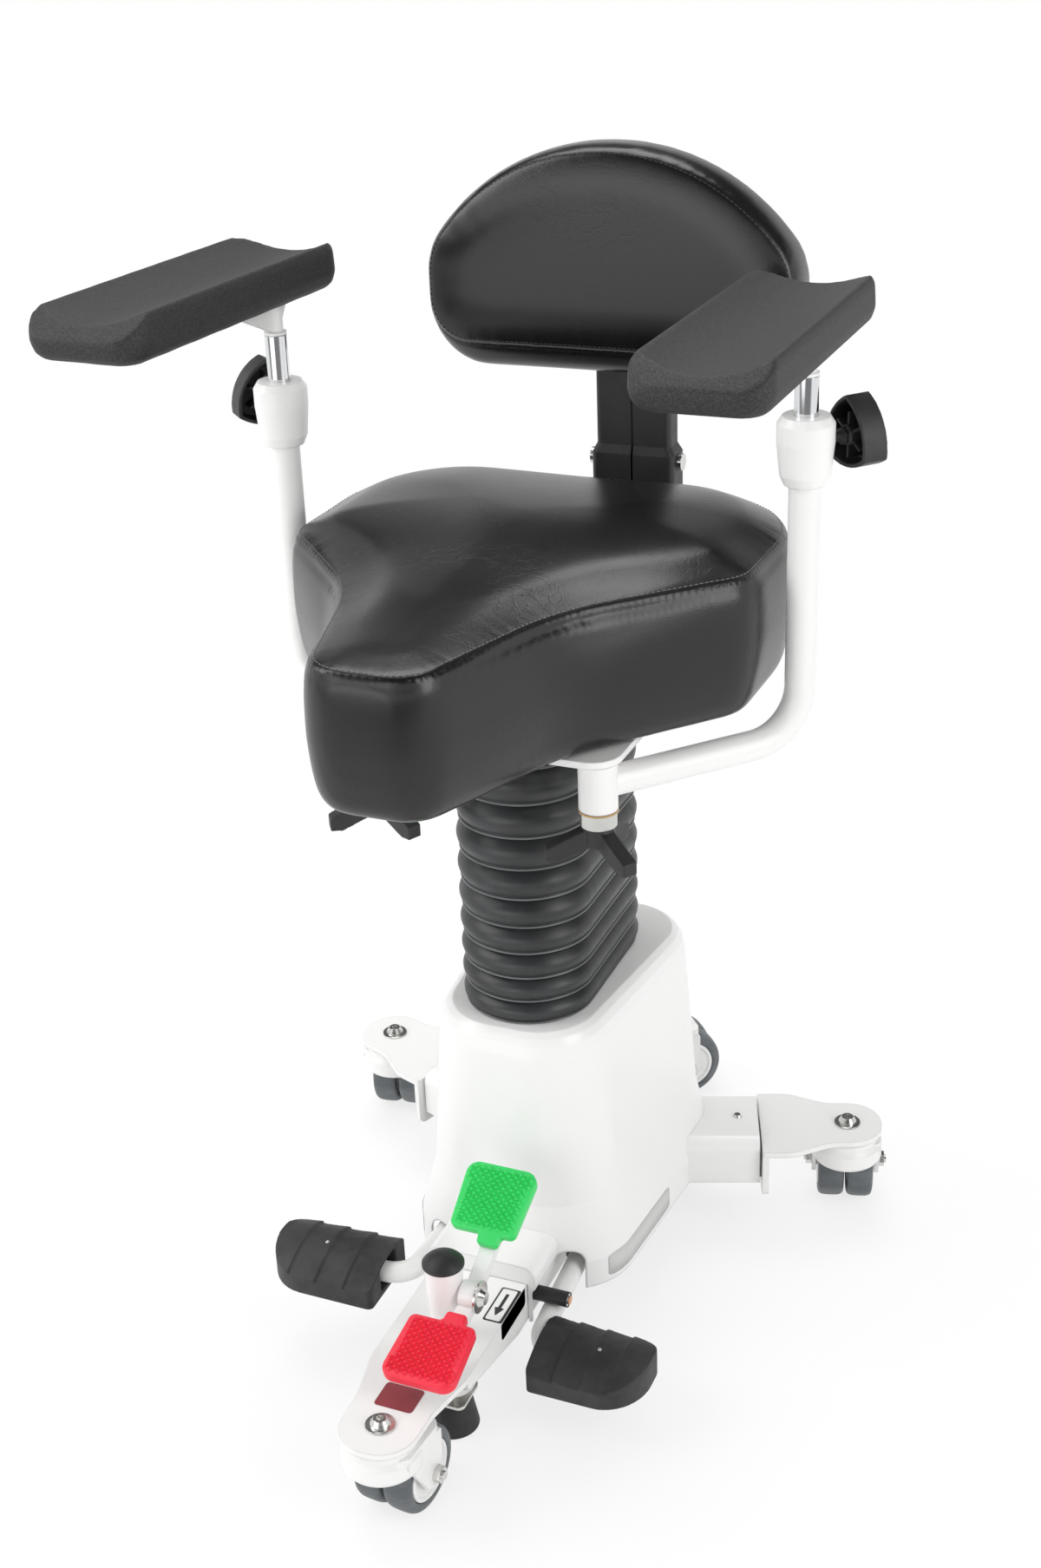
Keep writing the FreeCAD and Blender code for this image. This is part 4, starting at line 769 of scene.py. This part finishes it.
# %% [markdown]
# Each pedal has a thick rubber tread with four shallow steps for the shoe, arched from front to back, and
# one screw that holds it to its arm. The softened solid is bent to the arch by moving its points up and
# down, more at the top than at the underside. The screw is a small lathe profile.

# %% Pedal treads
def lathe(name, profile, coat, count=72):
    """Turns a closed profile of (radius, along) points about the local Y axis, in millimetres."""
    verts, faces = [], []
    for i in range(count):
        angle = 2 * math.pi * i / count
        for radius, along in profile:
            verts.append((radius * math.cos(angle), along, radius * math.sin(angle)))
    span = len(profile)
    for i in range(count):
        here, there = i * span, (i + 1) % count * span
        for k in range(span):
            after = (k + 1) % span
            faces.append((here + k, there + k, there + after, here + after))
    return piece(name, verts, faces, coat)


def carried(spot, degrees, axis):
    """The matrix that turns a piece about an axis and carries it to a spot in millimetres."""
    return Matrix.Translation(Vector(spot) * MM) @ Matrix.Rotation(math.radians(degrees), 4, axis)


def terraced(made, side, start, length, y, z):
    """Arches a pedal's tread from front to back and keeps its four steps along the length."""
    underside, skirt, steps, fuller = 16.0, 13.0, 4, 1.12
    flat_top, flat_fall, flat_peak, flat_step = 33.0, 9.0, 0.8, 1.6
    arch_top, arch_step, far_fall = 34.5, 2.4, 3.0
    crest, front_run, front_fall, rear_run, rear_fall = 10.0, 43.0, 14.5, 23.0, 8.0
    co = points_of(made) / MM
    u, v, w = side * co[:, 0] - start, co[:, 1] - y, co[:, 2] - z + underside
    step = u * steps / length % 1.0
    # flat is the top that the solid has, and arch the top that it gets, both above the underside
    flat = flat_top - flat_fall * (2 * u / length - flat_peak) ** 2 - flat_step * step
    front, rear = np.clip((crest - v) / front_run, 0, 1), np.clip((v - crest) / rear_run, 0, 1)
    arch = arch_top - front_fall * front ** 2 - rear_fall * rear ** 2 - arch_step * step
    arch = arch - far_fall * np.clip(u / length, 0, 1)
    share = np.clip((w - skirt) / (flat - skirt), 0, 1.05)
    co[:, 2] += share * (arch - flat)
    co[:, 1] = y + v * fuller
    move_points(made, co * MM)


screw_head = [(0.05, 0.0), (1.9, 0.0), (1.9, 0.9), (1.2, 1.3), (0.05, 0.9)]
screw_share, screw_back, screw_rise = 0.55, 2.0, 14.9
# each pedal's name and side, where its tread starts, the tread's length, and its middle's y and z
pedals = [("raise_pedal", -1, 82.0, 112.0, -186.0, 91.0), ("lower_pedal", 1, 68.0, 100.0, -199.0, 57.0)]
for name, side, start, length, y, z in pedals:
    pedal = softened(name + "_tread", name + "_pad", pedal_rubber, voxel=0.0011, times=3)
    terraced(pedal, side, start, length, y, z)
    settle(pedal, name, "black_rubber", name + "_pad")
    screw = lathe(name + "_screw", screw_head, zinc, count=24)
    screw_x = side * (start + length * screw_share)
    screw.data.transform(carried((screw_x, y + screw_back, z + screw_rise), 90, "X"))
    settle(screw, name, "plated_steel")

# %% [markdown]
# Star knobs lock the arms from below and clamp knobs hold the posts. Both are mouldings as well, so they
# are softened like the rests, with a finer remesh that keeps their ribs.

# %% Knobs
for side in SIDES:
    grip = softened("star_grip_" + side, "star_knob_" + side, black_plastic, voxel=0.0009, times=5)
    settle(grip, "star_" + side, "black_plastic", "star_knob_" + side)
    grip = softened("clamp_grip_" + side, "clamp_knob_" + side, black_plastic, voxel=0.0007, times=3)
    settle(grip, "clamp_" + side, "black_plastic", "clamp_knob_" + side)

# %% [markdown]
# The bellows hides the column. On the real one each fold swells out from a sharp neck, is widest half-way
# down and ends below in a thin rolled lip, painted paler than the folds as a painted highlight for the
# bright line of light along it; it is long and oval in plan, and the folds sit closer together towards
# the bottom. One fold's shape, given as shares of its height, is repeated up the column; a wave formula
# would be shorter but could not make the lip.

# %% Bellows: one fold
fold_low, fold_high, folds, oval_count = 311.0, 587.7, 10, 96
neck_radius, oval_front, oval_rear, growth = 52.5, -30.0, 75.0, 0.24
inner_wide, inner_long = 0.93, 0.96
oval_middle = (oval_front + oval_rear) / 2
fold_shape = [
    (0, neck_radius), (0.01, 55.6), (0.025, 57.4), (0.05, 58.1), (0.08, 58.1), (0.1, 57.5),
    (0.115, 56.6), (0.14, 56.8), (0.2, 58.0), (0.3, 59.3), (0.4, 60.0), (0.5, 60.1),
    (0.6, 59.4), (0.7, 57.9), (0.8, 55.6), (0.9, 52.8), (0.97, 50.8), (0.995, 50.2)]
lip_first, lip_last = 1, 4


def fold_level(share):
    """The height at a share of the bellows, with folds that grow taller upwards."""
    return fold_low + (fold_high - fold_low) * ((1 - growth) * share + growth * share * share)


def oval(radius, z):
    """A ring of two half circles apart along Y."""
    ring = []
    for i in range(oval_count):
        angle = 2 * math.pi * i / oval_count
        middle = oval_rear if math.sin(angle) > 0 else oval_front
        ring.append((radius * math.cos(angle), middle + radius * math.sin(angle), z))
    return ring


def inner(ring):
    """The same ring on the rubber's inner side."""
    return [(x * inner_wide, oval_middle + (y - oval_middle) * inner_long, z) for x, y, z in ring]


print("lowest fold", round(fold_level(1 / folds) - fold_low, 1), "mm high")

# %% [markdown]
# The folds are skinned from many oval rings, up outside and down inside, and the lip takes its own
# finish. Real rubber folds up as the seat goes down.

# %% Bellows: skin
fold_rings = [oval(radius, fold_level((fold + share) / folds))
              for fold in range(folds) for share, radius in fold_shape]
fold_rings.append(oval(neck_radius, fold_high))
inner_rings = [inner(ring) for ring in reversed(fold_rings)]
verts, faces = skin(fold_rings + inner_rings + [fold_rings[0]], close_ends=False)
gaiter = piece("bellows_folds", verts, faces, fold_rubber)
# The lip rings take the paler finish, a painted highlight along each fold's lip.
gaiter.data.materials.append(lip_painted_highlight_rubber)
for face in gaiter.data.polygons[:(len(fold_rings) - 1) * oval_count]:
    face.material_index = int(lip_first <= face.index // oval_count % len(fold_shape) <= lip_last)
settle(gaiter, "base", "black_rubber", "bellows")
tall = (fold_high - fold_low) * MM
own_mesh(gaiter)

# %% [markdown]
# Each caster has two wheels side by side: a grey tread moulded round a white hub, with a raised ring on
# the hub's face. One lathe profile makes each, turned about the axle and carried to its place.

# %% Wheels
def rounded_profile(points, radius, steps=5):
    """A closed profile with each corner rounded."""
    done = []
    total = len(points)
    for i in range(total):
        here = Vector(points[i])
        before, after = Vector(points[i - 1]) - here, Vector(points[(i + 1) % total]) - here
        size = min(radius, before.length * 0.45, after.length * 0.45)
        first, last = here + before.normalized() * size, here + after.normalized() * size
        for k in range(steps + 1):
            t = k / steps
            done.append(tuple(first * (1 - t) ** 2 + here * 2 * t * (1 - t) + last * t * t))
    return done


tread = rounded_profile([
    (27.2, 2.0), (31.0, 1.0), (35.5, 2.2), (37.2, 6.0), (37.5, 11.0), (37.5, 17.0), (37.2, 22.0),
    (35.5, 25.6), (31.0, 27.0), (28.0, 26.6), (27.2, 24.0)], radius=2.0)
hub = rounded_profile([
    (4.05, 0.3), (8.0, 0.3), (8.4, 2.2), (27.0, 2.4), (27.0, 26.4), (25.6, 27.2), (23.6, 27.2),
    (22.4, 25.4), (9.0, 24.6), (8.2, 28.2), (4.05, 28.2)], radius=1.2, steps=3)
caster_trail, axle_height = 28.0, 37.5
# each caster's x and y, and the way that it trails, in degrees
caster_spots = {"front": (0.0, -370.0, 84.0), "right": (245.0, 166.0, 106.0),
                "left": (-245.0, 166.0, 100.0), "rear": (0.0, 300.0, 40.0)}
for spot, (x, y, heading) in caster_spots.items():
    axle = carried((x, y, 0), heading, "Z")
    axle = axle @ Matrix.Translation(Vector((caster_trail, 0, axle_height)) * MM)
    for letter, side in (("a", -1), ("b", 1)):
        end = spot + "_" + letter
        tyre = lathe("tread_" + end, [(r, side * a) for r, a in tread], tyre_grey)
        disc = lathe("hub_" + end, [(r, side * a) for r, a in hub], hub_white)
        for made in (tyre, disc):
            made.data.transform(axle)
            if side > 0:
                made.data.flip_normals()
        settle(tyre, "wheel_" + end, "grey_tyre", "wheel_" + end)
        settle(disc, "wheel_" + end, "white_paint")

# %% [markdown]
# The brake's two foot pads are bright rubber with a smooth border and a narrow tab that slips over the
# rocker's neck. A bevelled box would be quicker, but the pads widen to the far end and have corners of
# three sizes, so the slab is an outline pushed up in rings with a rolled edge.

# %% Brake pads: slab
pad_length, pad_mid, near_half, far_half = 62.7, 21.0, 29.7, 33.0
neck_x, neck_half, tab = 29.0, 10.0, 10.0
near_corner, far_corner, tab_corner, pad_count = 6.0, 11.0, 3.0, 140
slab_levels = [(0.05, 0.6), (0.6, 0.1), (2, 0), (7.2, 0), (8.4, 0.5), (9, 1.6)]


def slab(near):
    """Vertices and faces of a pad without its studs."""
    far = near + pad_length
    edge = [(pad_mid - near_half, near), (neck_x - neck_half, near), (neck_x - neck_half + 1, near - tab),
            (neck_x + neck_half - 1, near - tab), (neck_x + neck_half, near), (pad_mid + near_half, near),
            (pad_mid + far_half, far), (pad_mid - far_half, far)]
    radii = [near_corner] + [tab_corner] * 4 + [near_corner] + [far_corner] * 2
    return skin([[(x, y, z) for x, y in outline(edge, radii, inset, pad_count)]
                 for z, inset in slab_levels])


print("slab", pad_length, "mm long,", slab_levels[-1][0], "mm thick")

# %% [markdown]
# Staggered rows of small pyramids give the shoe its grip, and those that would touch the border are
# left out. Each is a stack of three shrinking squares, which rounds its top as wear does.

# %% Brake pads: studs
stud_step_x, stud_step_y, stud_wide, stud_deep, stud_foot, stud_rise = 7.0, 3.1, 3.3, 2.9, 8.9, 2.4
side_border, far_border, near_border, corner_border, columns = 4.2, 4.0, 4.4, 7.2, 5
stud_stack = [(1.0, 0.0), (0.62, 0.62), (0.28, 1.0)]


def stud_spots(near):
    """Where the studs stand, as x and y."""
    far = near + pad_length
    for row in range(int((pad_length - near_border - far_border) / stud_step_y) + 1):
        y = near + near_border + row * stud_step_y
        half = near_half + (far_half - near_half) * (y - near) / pad_length
        for k in range(-columns, columns + 1):
            x = pad_mid + k * stud_step_x + (stud_step_x / 2 if row % 2 else 0.0)
            aside = abs(x - pad_mid)
            corner = math.hypot(max(0.0, aside - half + far_corner), max(0.0, y - far + far_corner))
            if aside <= half - side_border and corner <= corner_border:
                yield x, y


def studded_pad(name, near, coat):
    """A whole pad, lying flat, that starts a distance from the rocker's pin."""
    verts, faces = slab(near)
    for x, y in stud_spots(near):
        start = len(verts)
        for size, rise in stud_stack:
            wide, deep, z = stud_wide * size, stud_deep * size, stud_foot + stud_rise * rise
            verts += [(x - wide, y, z), (x, y - deep, z), (x + wide, y, z), (x, y + deep, z)]
        for c in range(8):
            d = c - c % 4 + (c + 1) % 4
            faces.append((start + c, start + d, start + 4 + d, start + 4 + c))
        faces.append((start + 8, start + 9, start + 10, start + 11))
    made = piece(name, verts, faces, coat, smooth=False)
    for face in made.data.polygons[:pad_count * (len(slab_levels) - 1)]:
        face.use_smooth = True
    return made


print("one pad has", len(list(stud_spots(0.0))), "studs")

# %% [markdown]
# Both pads sit on one rocker, so pressing one lifts the other. The green one points back to the cover and
# the red one to the front caster; the red one is the same pad turned end for end.

# %% Brake pads: on the rocker
rocker_pin = (0, -250.0, 145.5)
green = studded_pad("brake_tread_green", 53.0, green_rubber)
green.data.transform(carried(rocker_pin, 28.4, "X"))
settle(green, "rocker", "green_rubber", "brake_pad_green")
red = studded_pad("brake_tread_red", 35.5, red_rubber)
red.data.transform(Matrix.Scale(-1, 4, (0, 1, 0)))
red.data.flip_normals()
red.data.transform(carried(rocker_pin, 14.0, "X"))
settle(red, "rocker", "red_rubber", "brake_pad_red")

# %% [markdown]
# A dark label with a plain arrow for the lowering pedal is bent over the leg's edge, and a small plate
# sits beside the front caster. A picture on the paint would need an image, so they are thin sheets laid
# just clear of what carries them.

# %% Label and plate
def card(name, edge, corners, z, thick, coat=black_plastic, slot="black_plastic"):
    """A thin sheet with rounded corners lying at height z."""
    low = [(x, y, z) for x, y in outline(edge, corners, inset=0.0, count=60)]
    high = [(x, y, z + thick) for x, y, _ in low]
    return settle(piece(name, *skin([low, high]), coat, smooth=False), "base", slot)


def sheet_box(x0, y0, x1, y1):
    return [(x0, y0), (x1, y0), (x1, y1), (x0, y1)]


leg_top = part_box("leg_brackets")[1][2] / MM
card("label_ground", sheet_box(25.5, -223.5, 43.6, -178.0), [1.5] * 4, z=leg_top + 0.05, thick=0.15)
card("label_panel", sheet_box(27.2, -221.8, 41.0, -179.7), [1.0] * 4, z=leg_top + 0.25, thick=0.1,
     coat=hub_white, slot="white_plastic")
arrow = [(34.1, -216.0), (38.6, -205.0), (35.6, -205.0), (35.6, -186.0), (32.6, -186.0),
         (32.6, -205.0), (29.6, -205.0)]
card("label_arrow", arrow, [0.3] * 7, z=leg_top + 0.4, thick=0.08)
flap_corners = [4.0, 1.0, 1.0, 4.0]
flap = card("label_flap", sheet_box(-18.0, -225.0, 0.0, -172.0), flap_corners, z=0.05, thick=0.15)
flap.data.transform(carried((44.05, 0, leg_top - 0.2), -90, "Y"))
card("caster_plate", sheet_box(-16.5, -350.0, 18.0, -322.0), [3.0] * 4, z=leg_top + 0.05, thick=0.3,
     coat=rose_plate, slot="red_rubber")

# %% [markdown]
# Pale grey strips run along the cover's skirt where shoes rub. Each follows the skirt's own outline, a
# fraction of a millimetre outside it, and its ends are rounded off by easing the height.

# %% Skirt strips
strip_z, strip_half, strip_thick, end_half, end_run = 75.0, 12.0, 0.25, 9.0, 8
strip_front, strip_rear = -92, 26
skirt, skirt_corners = mirrored([(98.0, -120.0), (122.0, 174.0)], [64.0, 60.0])
skirt_rim = outline(skirt, skirt_corners, inset=-0.3, count=720)
for name, side in zip(SIDES, (-1, 1)):
    run = [(x, y) for x, y in skirt_rim if side * x > 0 and strip_front < y < strip_rear]
    run.sort(key=lambda p: p[1])
    rings = []
    for k, (x, y) in enumerate(run):
        ease = min(1.0, min(k, len(run) - 1 - k) / end_run)
        tall = end_half + (strip_half - end_half) * math.sqrt(ease * (2 - ease))
        low, high, inside = strip_z - tall, strip_z + tall, x - side * strip_thick
        rings.append([(x, y, low), (x, y, high), (inside, y, high), (inside, y, low)])
    verts, faces = skin(rings)
    if side > 0:
        faces = [face[::-1] for face in faces]
    settle(piece("skirt_strip_" + name, verts, faces, strip_grey), "base", "white_plastic")

# %% [markdown]
# The stop pin that catches the lowering pedal wears a black rubber sleeve, and its bare end shows copper.
# Both are turned on the lathe like the wheels and laid over to point out of the leg's side.

# %% Stop sleeve
sleeve_profile = rounded_profile(
    [(6.05, 0.3), (6.9, 0.3), (6.9, 34.6), (6.05, 34.6)], radius=0.3, steps=2)
end_profile = rounded_profile(
    [(0.05, 35.1), (4.2, 35.1), (4.2, 35.9), (0.05, 35.9)], radius=0.2, steps=2)
sleeve = lathe("stop_sleeve", sleeve_profile, black_plastic, count=40)
sleeve_end = lathe("stop_end", end_profile, copper, count=40)
for made, slot in ((sleeve, "black_plastic"), (sleeve_end, "bronze")):
    made.data.transform(carried((44.0, -155.0, 81.0), -90, "Z"))
    settle(made, "base", slot)
